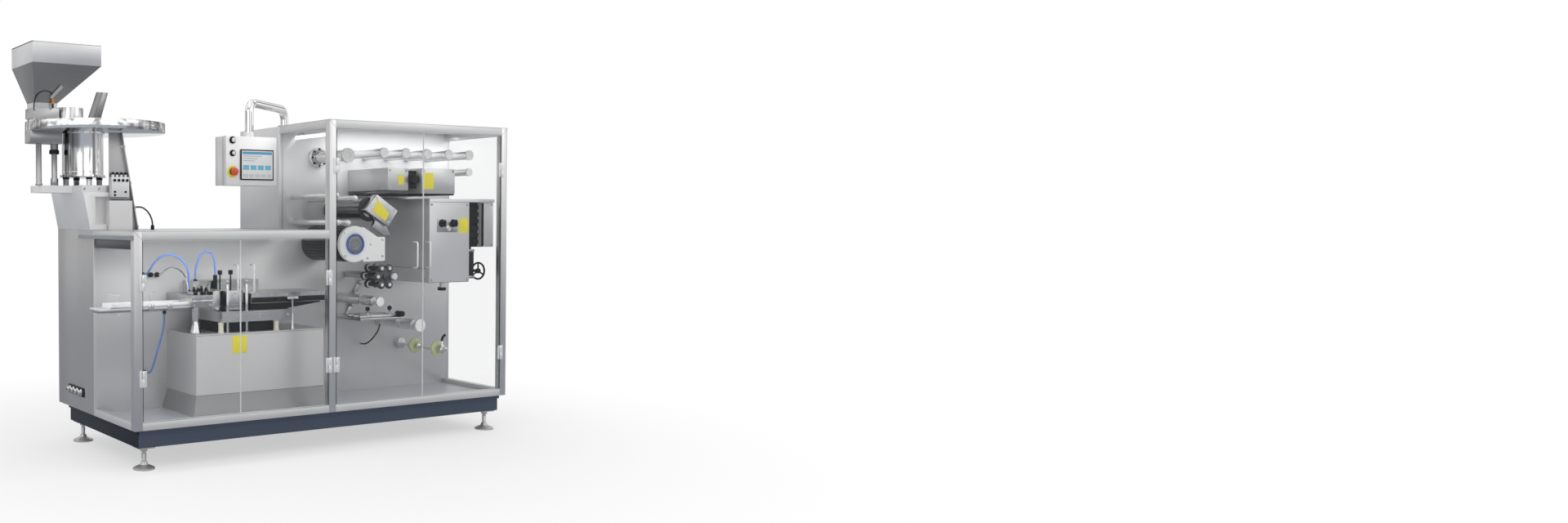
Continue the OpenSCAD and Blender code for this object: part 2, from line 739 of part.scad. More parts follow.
module bowl_fittings() color("#b7babd") placed() {
    floor_z = bowl_z + bowl_floor;
    translate([drum_x - ring_r, drum_y, floor_z]) difference() {
        cylinder(h = ring_h, r = ring_r);
        translate([0, 0, -1]) cylinder(h = ring_h + 2, r = ring_r - 4);
    }
    tip_z = floor_z + 220;
    slab([drum_y - 2, drum_y + 2]) polygon([[drum_x + 8, floor_z], [drum_x + 90, floor_z],
        [drum_x + 156, tip_z], [drum_x + 85, tip_z]]);
}

module hopper() color("#9ea1a4") placed() {
    w = hopper_wall;
    rim_x = [-hopper_out, hopper_w - hopper_out];
    rim_y = [hopper_y, hopper_y + hopper_d];
    neck_x = [neck_x0, neck_x0 + neck_w];
    neck_y = [neck_y0, neck_y0 + neck_w];
    difference() {
        union() {
            block(rim_x, rim_y, [rim_z, rim_z + hopper_rim]);
            frustum([neck_x, neck_y, cone_z], [rim_x, rim_y, rim_z]);
            block(neck_x, neck_y, [neck_z, cone_z]);
        }
        block(rim_x + [w, -w], rim_y + [w, -w], [rim_z, rim_z + hopper_rim + 1]);
        frustum([neck_x + [w, -w], neck_y + [w, -w], cone_z], [rim_x + [w, -w], rim_y + [w, -w], rim_z]);
        block(neck_x + [w, -w], neck_y + [w, -w], [neck_z - 1, cone_z]);
    }
}

module hopper_support() color("#a5a8ab") placed() {
    neck_x = [neck_x0, neck_x0 + neck_w];
    neck_y = [neck_y0, neck_y0 + neck_w];
    gate_z = [neck_z, neck_z + gate_h];
    edge = [-gate_wall, gate_wall];
    difference() {
        block(neck_x + edge, neck_y + edge, gate_z);
        block(neck_x, neck_y, gate_z + [-1, 1]);
    }
    for (x = neck_x + edge / 2, y = [neck_y0 - gate_wall / 2, neck_y0 + 100])
        rod_z(x, y, [bowl_z + bowl_floor, gate_z[0]], hopper_post_r);
    box_x = -hopper_out + 19;
    box_y = bracket_y - 20;
    box_z = bowl_z - side_box_h;
    block([box_x, box_x + side_box_w], [box_y, box_y + side_box_d], [box_z, bowl_z]);
    column = [-bracket_out - 3, bracket_y + 31];
    rod_z(column[0], column[1], [base_plate_top, box_z], column_r);
    rod_z(column[0], column[1], [base_plate_top, base_plate_top + 10], column_r + 4);
    rod_z(column[0] + lifter_pitch, column[1], [base_plate_top, box_z - 30], lifter_r - 6);
    rod_z(column[0] + lifter_pitch, column[1], [base_plate_top, base_plate_top + 40], lifter_r);
    rod_z(column[0] + lifter_pitch, column[1], [box_z - 56, box_z], lifter_r);
}

module chute_cover() color("#c2c5c7") placed() {
    top_z = bowl_z - 8;
    thick = 4;
    flange = 24;
    left_x = 110;
    foot_x = 279;
    head_x0 = 183;
    slab([pedestal_y - thick, pedestal_y]) polygon([[left_x, low_roof_top], [foot_x, low_roof_top],
        [head_x0, top_z], [left_x, top_z]]);
    slab([pedestal_y - flange, pedestal_y]) polygon([[foot_x - 6, low_roof_top], [foot_x, low_roof_top],
        [head_x0, top_z], [head_x0 - 6, top_z]]);
    cable = top_cable_route[0];
    rod_x([cable[0] - 12, cable[0]], cable[1], cable[2], cable_d);
}

module feeder_boxes() color("#b4b7ba") placed() {
    back = pedestal_y - 4;
    block([100, 238], [back - 28, back], [low_roof_top, low_roof_top + 162]);
    block([112, 214], [back - 40, back], [low_roof_top + 182, low_roof_top + 292]);
    for (i = [0:3]) rod_z(125 + 25 * i, back - 20, [low_roof_top + 292, low_roof_top + 306], 8);
}

module press_housing() color("#b2b5b8") placed() {
    right = press_x + press_length;
    frustum([[press_x - skirt_flare, right], [press_y - skirt_flare, press_rear], deck_top],
        [[press_x, right], [press_y, press_rear], deck_top + skirt_h]);
    block([press_x, right], [press_y, press_rear], [deck_top + skirt_h, press_top]);
}

module press_heaters() color("#26282a") placed() {
    base_x = [platen_x + 15, platen_x + 360];
    block(base_x, [press_y + 50, platen_rear - 30], [press_top, platen_z]);
    heater_end = table_x + table_length - 30;
    taper_x = platen_x + platen_length;
    slab([table_y[0] + 5, table_y[1]]) polygon([[table_x, heater_z], [taper_x, heater_z], [heater_end, table_z - 8],
        [heater_end, table_z], [table_x, table_z]]);
}

module press_posts() color("#e0e3e4") placed() {
    for (x = column_x) {
        rod_z(x, column_y[0], [press_top, press_top + press_column_h], press_column_r);
        rod_z(x, column_y[1], [press_top, table_top], press_column_r);
    }
    bush_r = 13;
    bush_y = platen_y + 24;
    for (x = [platen_x + 5, platen_x + 355]) rod_z(x, bush_y, [press_top, platen_z], bush_r);
    stop_x = platen_x + stop_out;
    stop_y = press_y + 14;
    stop_z = table_z + 24;
    rod_z(stop_x, stop_y, [press_top, stop_z], 6);
    rod_z(stop_x, stop_y, [press_top, press_top + 8], 14);
    rod_x([stop_x - 36, stop_x + 36], stop_y, stop_z, 9);
    foot_x = press_x + 46;
    translate([foot_x, head_y + 60, press_top]) rotate_extrude() polygon([[0, 0], [30, 0], [26, 20], [13, 66],
        [18, 66], [18, head_z - press_top], [0, head_z - press_top]]);
}

module press_platens() color("#b9bcbf") placed() {
    bore_r = press_column_r + column_fit;
    difference() {
        block([platen_x, platen_x + platen_length], [platen_y, platen_rear], [platen_z, heater_z]);
        for (x = column_x, y = column_y) rod_z(x, y, [platen_z - 1, heater_z + 1], bore_r);
    }
    block([table_x, table_x + table_length], table_y, [table_z, table_top]);
    block(die_x, [table_y[0], crossbeam_y], [die_z, die_z + die_h]);
}

module cutting_head() color("#a7aaad") placed() {
    block([head_x, side_plate_x[0]], [head_y, bay_depth], [head_z, table_top]);
    block(side_plate_x, [head_y + 5, bay_depth], [die_z, die_z + die_h]);
    beam_x = platen_x - 55;
    block([beam_x, beam_x + crossbeam_length], [crossbeam_y, bay_depth], [table_top, table_top + crossbeam_h]);
    block([head_x + 20, side_plate_x[0]], [head_y + 20, head_y + 90], [table_top, table_top + 18]);
}

module discharge_chute() color("#e2e4e5") placed() {
    x = [-chute_out, head_x];
    y = [chute_y, chute_y + chute_w];
    block(x, y, [chute_z, chute_z + chute_t]);
    for (side = [[y[0], y[0] + 8], [y[1] - 8, y[1]]])
        block([x[0] + 70, x[1]], side, [chute_z, chute_z + chute_t + chute_rail]);
    block([head_x - 190, head_x - 150], [y[1] - 8, bay_depth], [chute_z - 14, chute_z]);
}

// Roller from the wall to the front, with an end cap
module web_roller(x, z, front, r, cap_r) {
    rod_y(x, [front + cap_t, bay_depth], frame_bottom + z, r);
    rod_y(x, [front, front + cap_t], frame_bottom + z, cap_r);
}

module guide_rollers() color("#d9dcde") placed() {
    for (p = guide_rods) web_roller(low_length + p[0], p[1], roller_front, guide_rod_r, guide_rod_r - 3);
    flange_x = low_length + flange_roller[0];
    web_roller(flange_x, flange_roller[1], roller_front + 150, 34, 44);
    rod_y(flange_x, [bay_depth - 22, bay_depth], frame_bottom + flange_roller[1], 60);
    row_pitch = (roller_row_x[1] - roller_row_x[0]) / 4;
    for (i = [0:4]) web_roller(roller_row_x[0] + i * row_pitch, roller_row_z, roller_front + 60, 24, 30);
    web_roller(low_length + lower_rollers[0][0], lower_rollers[0][1], roller_front + 68, 20, 28);
    web_roller(low_length + lower_rollers[1][0], lower_rollers[1][1], roller_front + 68, 24, 38);
    web_roller(side_roller[0], side_roller[1], roller_front + 28, 20, 24);
}

module print_housings() color("#bdc0c3") placed() {
    z = [frame_bottom + print_z, frame_bottom + print_z + print_h];
    wide_x = print_x + print_w + head_gap;
    block([print_x, print_x + print_w], [print_y, bay_depth], z);
    block([wide_x, side_roller[0] - print_clear], [cabinet_y, bay_depth], [z[0] - 18, z[1]]);
}

module print_head() color("#1e2022") placed() {
    x0 = print_x + print_w;
    z0 = frame_bottom + print_z;
    block([x0, x0 + head_gap], [print_y + 12, print_y + 140], [z0 + 14, z0 + 118]);
    rod_y(x0 + head_gap / 2, [print_y - 30, print_y + 12], z0 + 66, 26);
}

module sealing_rollers() color("#3a3c3e") placed() {
    front = end_plate_y + end_plate_t;
    rod_y(heated_x, [front + cap_t, bay_depth], frame_bottom + heated_z, heated_r);
    rod_y(heated_x, [front, front + cap_t], frame_bottom + heated_z, heated_r + 10);
    slab_at(ribbed_x, [front, bay_depth], frame_bottom + ribbed_z) difference() {
        circle(ribbed_r);
        for (i = [0:29]) rotate(12 * i) translate([ribbed_r, 0]) circle(4, $fn = 16);
    }
}

// Guard plate over the heated roller's end, with a lower plate behind it
module roller_guard() color("#b7babd") placed() {
    front = end_plate_y + end_plate_t;
    translate([heated_x, 0, frame_bottom + heated_z]) {
        slab([front - 60, front]) polygon([[-71, -5], [15, 85], [162, -9], [97, -100]]);
        slab([front - 36, front - 12]) polygon([[20, -60], [97, -100], [127, -152], [82, -150], [2, -106]]);
    }
}

module drum_end_plate() color("#e3e5e6") placed()
    slab_at(ribbed_x, [end_plate_y, end_plate_y + end_plate_t], frame_bottom + ribbed_z) difference() {
        union() {
            circle(ribbed_r + 1);
            polygon([[-60, ribbed_r - 18], [62, ribbed_r - 6], [end_arm - 53, 41], [end_arm, 41],
                [end_arm, 4 - ribbed_r], [63, -ribbed_r]]);
        }
        circle(bearing_r - 10);
    }

module bearing_ring() color("#2f6fc4") placed()
    slab_at(ribbed_x, [end_plate_y - 10, end_plate_y], frame_bottom + ribbed_z) difference() {
        circle(bearing_r);
        circle(bearing_r - 9);
    }

// Plate of the star wheel: a round lobe for each roller on a middle disc
module star_plate() {
    circle(star_r - 6);
    for (i = [0:star_count - 1]) rotate(360 * i / star_count) translate([star_r, 0]) circle(star_lobe_r);
}

module star_wheel() color("#4a4d50") placed() {
    z = frame_bottom + star_z;
    plate_t = 10;
    roller_r = 13;
    for (y = [star_y, star_y + star_length - plate_t]) slab_at(star_x, [y, y + plate_t], z) star_plate();
    rod_y(star_x, [star_y - 8, star_y + star_length], z, 20);
    for (i = [0:star_count - 1]) {
        turn = 360 * i / star_count;
        rod_y(star_x + star_r * cos(turn), [star_y - 6, star_y + star_length - plate_t], z + star_r * sin(turn), roller_r);
    }
}

// Fittings that hold the ends of the hoses and of the top cable
module hose_fittings() color("#2a2c2f") placed() {
    fitting_r = 10;
    for (start = [long_hose_route[0], low_hose_route[0]]) rod_y(start[0], [start[1], bay_depth], start[2], fitting_r);
    head_end = long_hose_route[len(long_hose_route) - 1];
    rod_z(head_end[0], head_end[1], [table_top, head_end[2]], fitting_r);
    beam_end = loop_hose_route[0];
    rod_z(beam_end[0], beam_end[1], [table_top + crossbeam_h, beam_end[2]], fitting_r);
    valve = loop_hose_route[len(loop_hose_route) - 1];
    rod_z(valve[0], valve[1], [die_z + die_h, valve[2]], fitting_r + 2);
    low_end = low_hose_route[len(low_hose_route) - 1];
    rod_z(low_end[0], low_end[1], [low_end[2], chute_z], fitting_r);
    roof_end = top_cable_route[len(top_cable_route) - 1];
    rod_z(roof_end[0], roof_end[1], [low_roof_top, roof_end[2]], fitting_r);
    knob_y = table_y[0] + 120;
    knob_z = die_z + die_h;
    for (x = die_x + [14, -14]) {
        rod_z(x, knob_y, [knob_z, knob_z + 84], 4);
        rod_z(x, knob_y, [knob_z + 84, knob_z + 108], 13);
    }
}

module splice_station() color("#c8cbcd") placed() {
    star_back = star_y + star_length + running_gap;
    rod_y(star_x, [star_back, bay_depth], frame_bottom + star_z, 22);
    rod_y(reel_x, [bay_depth - reel_boss, bay_depth], frame_bottom + reel_z, 34);
    x0 = low_length + splice_out;
    z0 = frame_bottom + splice_z;
    bar_r = 9;
    front = roller_front + 110;
    block([x0, x0 + splice_length], [front, bay_depth], [z0, z0 + splice_t]);
    for (i = [0:2]) rod_x([x0 + 6, x0 + splice_length - 40], front + 24 + 60 * i, z0 + splice_t + bar_r, bar_r);
    for (x = [x0 + 70, x0 + 230]) {
        rod_z(x, front + 30, [z0 + splice_t, z0 + splice_t + 48], 5);
        translate([x, front + 30, z0 + splice_t + 54]) sphere(12, $fn = 24);
    }
    start = reel_cable_route[0];
    rod_y(start[0], [start[1], bay_depth], start[2], 8);
    end = reel_cable_route[len(reel_cable_route) - 1];
    rod_z(end[0], end[1], [end[2], z0], 8);
}

module reel_shaft() color("#d9dcde") placed() {
    z = frame_bottom + reel_z;
    collar = [roller_front + 40, roller_front + 66];
    rod_y(reel_x, [roller_front + 20, bay_depth - reel_boss - running_gap], z, reel_r);
    rod_y(reel_x, collar, z, reel_r + 12);
    rod_z(reel_x, (collar[0] + collar[1]) / 2, [z, z + 66], 6);
}

module reel_cones() color("#dfe2b8") placed() {
    hub = reel_r + 10;
    for (y = [cone_front, cone_front + cone_pitch])
        translate([reel_x, y, frame_bottom + reel_z]) rotate([90, 0, 0]) difference() {
            rotate_extrude() polygon([[0, -28], [hub, -28], [cone_r, 0], [cone_r, 10], [hub + 4, 24], [0, 24]]);
            translate([0, 0, -40]) cylinder(h = 80, r = reel_r + column_fit);
        }
}

module control_cabinet() color("#a9acae") placed() {
    shelf_t = 20;
    block([cabinet_x, cabinet_x + cabinet_w], [cabinet_y, bay_depth], [frame_bottom + cabinet_z, cabinet_top]);
    block([cabinet_x, frame_length - 20], [cabinet_y, bay_depth], [cabinet_top, cabinet_top + shelf_t]);
    clamp_x = cabinet_x + cabinet_w / 2;
    rod_z(clamp_x, cabinet_y + 70, [frame_bottom + cabinet_z - 34, frame_bottom + cabinet_z], 14);
    rod_z(clamp_x, cabinet_y + 70, [frame_bottom + cabinet_z - 46, frame_bottom + cabinet_z - 30], 24);
}

module drive_box() color("#9da0a3") placed() {
    right = frame_length - 22;
    block([right - drive_w, right], [cabinet_y + 10, bay_depth], [cabinet_top - drive_h, cabinet_top]);
}

// Black motor between the control cabinet and the drive box, with a ring of fins and a handwheel below
module drive_motor() color("#1e2022") placed() {
    x = [cabinet_x + cabinet_w, frame_length - 22 - drive_w];
    face = cabinet_y + 40;
    split = cabinet_top - drive_h;
    block(x, [face + 12, bay_depth], [split, cabinet_top]);
    for (i = [0:5]) {
        z = split + 20 + 42 * i;
        block([x[0], x[1]], [face, face + 12], [z, z + 24]);
    }
    block([x[0], x[0] + 60], [face + 12, bay_depth], [cabinet_top - motor_h, split]);
    wheel_x = x[0] + 130;
    wheel_z = split - 150;
    wheel_r = 50;
    rod_y(wheel_x, [face + 20, face + 34], wheel_z, 16);
    rod_y(wheel_x, [face + 34, bay_depth], wheel_z, 9);
    translate([wheel_x, face + 27, wheel_z]) rotate([90, 0, 0]) rotate_extrude() translate([wheel_r, 0]) circle(6, $fn = 16);
    for (i = [0:2]) translate([wheel_x, face + 27, wheel_z]) rotate([0, 120 * i, 0]) cylinder(h = wheel_r, r = 5, $fn = 16);
}

module long_hose() color("#3f7fd0") placed() cord(long_hose_route, hose_d);

module loop_hose() color("#3f7fd0") placed() cord(loop_hose_route, hose_d);

module low_hose() color("#3f7fd0") placed() cord(low_hose_route, hose_d);

module top_cable() color("#1d1e20") placed() cord(top_cable_route, cable_d);

module reel_cable() color("#1d1e20") placed() cord(reel_cable_route, cable_d);

base_plinth();
levelling_feet();
deck_floor();
frame_posts();
frame_rails();
roof_sheets();
mounting_wall();
rear_cabinet();
tall_cabinet();
left_window();
side_windows();
end_duct();
frame_hinges();
side_ledge();
pendant_arm();
feeder_pedestal();
feeder_drum();
feeder_bowl();
bowl_fittings();
hopper();
hopper_support();
chute_cover();
feeder_boxes();
press_housing();
press_heaters();
press_posts();
press_platens();
cutting_head();
discharge_chute();
guide_rollers();
print_housings();
print_head();
sealing_rollers();
roller_guard();
drum_end_plate();
bearing_ring();
hose_fittings();
splice_station();
control_cabinet();
drive_box();
drive_motor();
low_left_door();
low_left_fittings();
low_right_door();
low_right_fittings();
tall_left_door();
tall_left_fittings();
tall_right_door();
tall_right_fittings();
pendant_box();
pendant_controls();
star_wheel();
reel_shaft();
reel_cones();
long_hose();
loop_hose();
low_hose();
top_cable();
reel_cable();
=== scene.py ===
"""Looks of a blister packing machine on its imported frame: finishes, fittings and a plain studio."""
import math

import bmesh
import bpy
from bpy.props import FloatProperty, FloatVectorProperty, PointerProperty
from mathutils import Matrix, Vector


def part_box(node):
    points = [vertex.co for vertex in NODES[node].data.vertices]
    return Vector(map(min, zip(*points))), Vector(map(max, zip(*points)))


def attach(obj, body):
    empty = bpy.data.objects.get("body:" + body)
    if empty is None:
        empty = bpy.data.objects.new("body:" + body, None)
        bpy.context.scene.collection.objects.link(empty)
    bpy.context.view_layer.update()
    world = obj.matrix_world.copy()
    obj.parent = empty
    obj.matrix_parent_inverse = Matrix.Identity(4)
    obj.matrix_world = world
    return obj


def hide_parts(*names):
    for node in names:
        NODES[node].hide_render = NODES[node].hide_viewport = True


bl_info = {
    "name": "Blister Packing Machine",
    "version": (1, 0, 0),
    "blender": (4, 5, 0),
    "location": "View3D > Sidebar > Packer",
    "description": "Dresses the packed frame of a blister packing machine",
    "category": "Object",
}

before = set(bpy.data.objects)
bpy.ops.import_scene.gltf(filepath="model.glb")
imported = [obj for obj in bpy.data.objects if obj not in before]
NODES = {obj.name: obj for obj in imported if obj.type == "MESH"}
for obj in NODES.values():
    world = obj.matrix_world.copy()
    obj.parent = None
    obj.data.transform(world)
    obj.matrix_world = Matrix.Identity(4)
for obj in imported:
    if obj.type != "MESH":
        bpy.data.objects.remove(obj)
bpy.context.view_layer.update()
# The left front corner of the frame, which machine measures start from; heights start from the floor
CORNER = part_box("frame_posts")[0]
FRAME_BOTTOM = 215  # height of that corner in millimetres

FRONT, LEFT, RIGHT, BACK, UP, DOWN = (0, -1, 0), (-1, 0, 0), (1, 0, 0), (0, 1, 0), (0, 0, 1), (0, 0, -1)
WHITE = (1, 1, 1, 1)
SMOOTH_ANGLE = math.radians(32)  # sharper edges than this stay sharp
WELD_GAP = 0.000005
CORD_POINTS = 15  # the fewest points of a cord
HOSE_DIAMETER, CABLE_DIAMETER = 0.012, 0.009

# The camera as fitted to the photograph: metres from the corner and above the floor, yaw and pitch in degrees
CAMERA_PLACE = (-2.3124, -5.3382, 1.3007)
CAMERA_AIM = (29.78, 2.15)
CAMERA_LENS = 26.25
CAMERA_SHIFT = 1 / 3  # the lens looks at the middle of the photograph's left third

LOW_ROOF, TALL_ROOF = 1238, 1853  # heights of the roof sheets
REAR_FACE, TALL_REAR_FACE = 1124, 1044  # depths of the rear panels, and of those of the tall cabinet
REAR_STEP = 815  # from one rear panel to the next

# Axes that run front to back, as X and Z, and upright axes, as X and Y
STAR, FLANGE, REEL, HEATED = (1667, 959), (1446, 1670), (2068, 508), (1558, 1355)
DRUM, BOWL, ARM_FOOT = (34, 800), (113, 800), (1258, 622)

# Routes of hoses and cables in millimetres, as the solids have them, by piece and by the solid it stands for
HOSES = {
    "long_air_hose": ("long_hose", [
        (290, 536, 990), (290, 510, 990), (292, 484, 1000), (297, 464, 1020), (305, 448, 1044),
        (318, 434, 1066), (336, 424, 1084), (358, 416, 1096), (382, 409, 1102), (408, 403, 1100),
        (432, 397, 1090), (454, 391, 1074), (472, 386, 1052), (485, 382, 1028), (492, 380, 1002),
        (494, 380, 976), (494, 380, 950), (494, 380, 924), (494, 380, 904)]),
    "loop_air_hose": ("loop_hose", [
        (560, 430, 960), (560, 430, 980), (560, 429, 1004), (563, 426, 1032), (569, 422, 1060),
        (579, 417, 1086), (594, 412, 1106), (613, 408, 1117), (633, 405, 1116), (650, 402, 1104),
        (661, 401, 1084), (667, 400, 1060), (669, 400, 1034), (670, 400, 1008), (670, 400, 982)]),
    "low_air_hose": ("low_hose", [
        (300, 536, 440), (300, 510, 440), (300, 484, 444), (299, 460, 456), (298, 440, 474),
        (298, 424, 496), (299, 411, 520), (301, 400, 546), (304, 390, 572), (309, 381, 598),
        (314, 372, 624), (319, 365, 650), (323, 359, 676), (326, 354, 702), (328, 350, 728),
        (329, 349, 754), (330, 348, 780)]),
}
CABLES = {
    "roof_cable": ("top_cable", [
        (264, 588, 1364), (279, 587, 1366), (294, 583, 1365), (308, 576, 1360), (323, 571, 1348),
        (335, 565, 1333), (343, 559, 1316), (348, 553, 1298), (350, 548, 1281), (350, 546, 1264)]),
    "splice_cable": ("reel_cable", [
        (1770, 536, 520), (1770, 514, 520), (1770, 492, 523), (1772, 471, 531), (1776, 453, 543),
        (1782, 438, 558), (1789, 425, 575), (1796, 414, 593), (1803, 406, 612), (1809, 401, 632),
        (1812, 400, 652)]),
}


def hue(name, description, default):
    return FloatVectorProperty(name=name, description=description, subtype="COLOR", size=3, min=0, max=1,
                               default=default)


def number(name, description, low, high, default, subtype="NONE", unit="NONE"):
    return FloatProperty(name=name, description=description, min=low, max=high, default=default,
                         subtype=subtype, unit=unit)


class PackerFinish(bpy.types.PropertyGroup):
    """Colours and sizes of the machine's finishes."""
    frame_steel: hue("Frame steel", "Tone of the frame tubes and top sheets", (0.68, 0.68, 0.68))
    polished_steel: hue("Polished steel", "Tone of rods, nuts and small bright parts", (0.78, 0.78, 0.785))
    plinth_paint: hue("Plinth paint", "Colour of the painted plinth", (0.066, 0.084, 0.122))
    hose_blue: hue("Hose blue", "Colour of the air hoses", (0.15, 0.26, 0.62))
    plate_yellow: hue("Plate yellow", "Colour of the blank notice plates", (0.80, 0.70, 0.035))
    edge_round: number("Edge rounding", "Rounding of the solids' edges", 0.0002, 0.003, 0.0012,
                       "DISTANCE", "LENGTH")
    screw_radius: number("Screw radius", "Radius of the common screw heads", 0.002, 0.01, 0.0055,
                         "DISTANCE", "LENGTH")
    pane_alpha: number("Pane density", "How much a clear pane hides", 0.01, 0.5, 0.02, "FACTOR")


class PackerStage(bpy.types.PropertyGroup):
    """Light and floor of the studio."""
    floor_tone: hue("Floor", "Colour of the floor", (0.93, 0.93, 0.93))
    floor_sheen: hue("Floor in metal", "Colour of the floor as metal mirrors it", (0.34, 0.36, 0.40))
    key_power: number("Key light", "Power of the soft light at the right front", 0, 2000, 24,
                      "POWER", "POWER")
    fill_power: number("Fill light", "Power of the soft light at the left front", 0, 2000, 25,
                       "POWER", "POWER")
    bay_power: number("Bay light", "Power of the soft lights under both roofs", 0, 100, 5, "POWER", "POWER")
    world_level: number("World level", "Strength of the even light from all round", 0, 2, 0.78)


def finish():
    return bpy.context.scene.packer_finish


def at(x, y, z):
    """Machine measures in millimetres, as a point of the scene."""
    return Vector((CORNER.x + x / 1000, CORNER.y + y / 1000, z / 1000))


def deep(axis, y):
    """The point of a front to back axis at a depth."""
    return (axis[0], y, axis[1])


def ring(centre, r, count):
    """Points spaced evenly on a circle, as pairs."""
    turns = [2 * math.pi * k / count for k in range(count)]
    return [(centre[0] + r * math.cos(t), centre[1] + r * math.sin(t)) for t in turns]


# Nodes


def fill(tree, node, values):
    """Sets a node's inputs to values, or links them from sockets."""
    for label, value in values.items():
        if isinstance(value, bpy.types.NodeSocket):
            tree.links.new(value, node.inputs[label])
        else:
            node.inputs[label].default_value = value


def add(tree, kind, values=None, **settings):
    """A new node with its settings and inputs; gives its outputs."""
    node = tree.nodes.new(kind)
    for label, value in settings.items():
        setattr(node, label, value)
    fill(tree, node, values or {})
    return node.outputs


def maths(tree, operation, *values, clamp=False):
    """A Math node on sockets or numbers."""
    return add(tree, "ShaderNodeMath", dict(enumerate(values)), operation=operation, use_clamp=clamp)[0]


def vectors(tree, operation, *values):
    """A Vector Math node; gives its number where the operation has one, else its vector."""
    outputs = add(tree, "ShaderNodeVectorMath", dict(enumerate(values)), operation=operation)
    return outputs["Value" if operation in ("DOT_PRODUCT", "LENGTH") else "Vector"]


def noise(tree, place, scale, detail=3.0, roughness=0.5):
    values = {"Vector": place, "Scale": scale, "Detail": detail, "Roughness": roughness}
    return add(tree, "ShaderNodeTexNoise", values)["Fac"]


def ranged(tree, value, old, new, kind="LINEAR"):
    """A value moved from one range to another and held inside it."""
    values = {"Value": value, "From Min": old[0], "From Max": old[1], "To Min": new[0], "To Max": new[1]}
    return add(tree, "ShaderNodeMapRange", values, interpolation_type=kind)[0]


def mixed(tree, share, first, second):
    return add(tree, "ShaderNodeMixShader", {0: share, 1: first, 2: second})[0]


# Shader groups that several finishes share

GROUP_OUTPUTS = ("Tone", "Roughness", "Height")
UPRIGHT, LENGTHWISE, DEEP = (350.0, 350.0, 5.0), (5.0, 350.0, 350.0), (350.0, 5.0, 350.0)
EVEN, COARSE = (90.0, 90.0, 90.0), (60.0, 60.0, 60.0)


def group_of(name, inputs):
    """A new shader group: its tree, its inputs (numbers or vectors) and the object's coordinates."""
    tree = bpy.data.node_groups.new(name, "ShaderNodeTree")
    for label, value in inputs.items():
        kind = "NodeSocketVector" if isinstance(value, tuple) else "NodeSocketFloat"
        tree.interface.new_socket(label, in_out="INPUT", socket_type=kind).default_value = value
    for label in GROUP_OUTPUTS:
        tree.interface.new_socket(label, in_out="OUTPUT", socket_type="NodeSocketFloat")
    return tree, add(tree, "NodeGroupInput"), add(tree, "ShaderNodeTexCoord")["Object"]


def put_out(tree, *values):
    fill(tree, tree.nodes.new("NodeGroupOutput"), dict(zip(GROUP_OUTPUTS, values)))


def grain_group():
    """Drawn lines of brushed sheet, stretched by a vector, under faint clouds."""
    tree, given, place = group_of("Brushed Grain", {
        "Stretch": (6.0, 6.0, 400.0), "Contrast": 0.12, "Roughness": 0.35})
    lines = noise(tree, vectors(tree, "MULTIPLY", place, given["Stretch"]), 1.0, 4.0, 0.6)
    drawn = maths(tree, "MULTIPLY", maths(tree, "SUBTRACT", lines, 0.5), given["Contrast"])
    clouds = maths(tree, "SUBTRACT", noise(tree, place, 2.3, 3.0, 0.55), 0.5)
    tone = maths(tree, "ADD", maths(tree, "MULTIPLY_ADD", clouds, 0.16, drawn), 1.0)
    rough = maths(tree, "MULTIPLY_ADD", drawn, 0.8, given["Roughness"])
    put_out(tree, tone, maths(tree, "MULTIPLY_ADD", clouds, 0.14, rough, clamp=True), lines)


def speckle_group():
    """Fine skin of paint and moulded plastic."""
    tree, given, place = group_of("Moulded Skin", {"Scale": 420.0, "Contrast": 0.1, "Roughness": 0.45})
    dust = maths(tree, "SUBTRACT", noise(tree, place, 7.0, 4.0, 0.6), 0.5)
    part = maths(tree, "MULTIPLY", dust, given["Contrast"])
    rough = maths(tree, "ADD", given["Roughness"], part, clamp=True)
    put_out(tree, maths(tree, "ADD", part, 1.0), rough, noise(tree, place, given["Scale"], 2.0))


def facing_up(tree):
    """How far a face looks up, from -1 for an underside to 1 for a top."""
    return add(tree, "ShaderNodeSeparateXYZ", {0: add(tree, "ShaderNodeNewGeometry")["True Normal"]})["Z"]


def reflection_streak_group():
    """Painted reflection: upright streaks round an axis, as polished steel would mirror a room, with a
    painted highlight on the side given; level faces are plain.
    """
    tree, given, place = group_of("Turned Streaks", {
        "Axis": (0.0, 0.0, 0.0), "Bright Side": (0.0, -1.0, 0.0), "Bands": 3.0, "Dark": 0.4,
        "Roughness": 0.12})
    outward = vectors(tree, "MULTIPLY", vectors(tree, "SUBTRACT", place, given["Axis"]), (1, 1, 0))
    around = vectors(tree, "NORMALIZE", outward)
    side = vectors(tree, "DOT_PRODUCT", around, given["Bright Side"])
    # Painted highlight on the side that faces the given direction
    patch = ranged(tree, side, (0.72, 0.96), (0.0, 0.7), "SMOOTHSTEP")
    bands = maths(tree, "ADD", noise(tree, around, given["Bands"], 3.0, 0.65), patch)
    streaks = ranged(tree, bands, (0.36, 1.1), (given["Dark"], 1.4))
    level = maths(tree, "GREATER_THAN", maths(tree, "ABSOLUTE", facing_up(tree)), 0.7)
    tone = maths(tree, "MULTIPLY_ADD", maths(tree, "SUBTRACT", 0.78, streaks), level, streaks)
    fine = noise(tree, place, 160.0, 2.0)
    smear = maths(tree, "SUBTRACT", fine, 0.5)
    put_out(tree, tone, maths(tree, "MULTIPLY_ADD", smear, 0.08, given["Roughness"], clamp=True), fine)


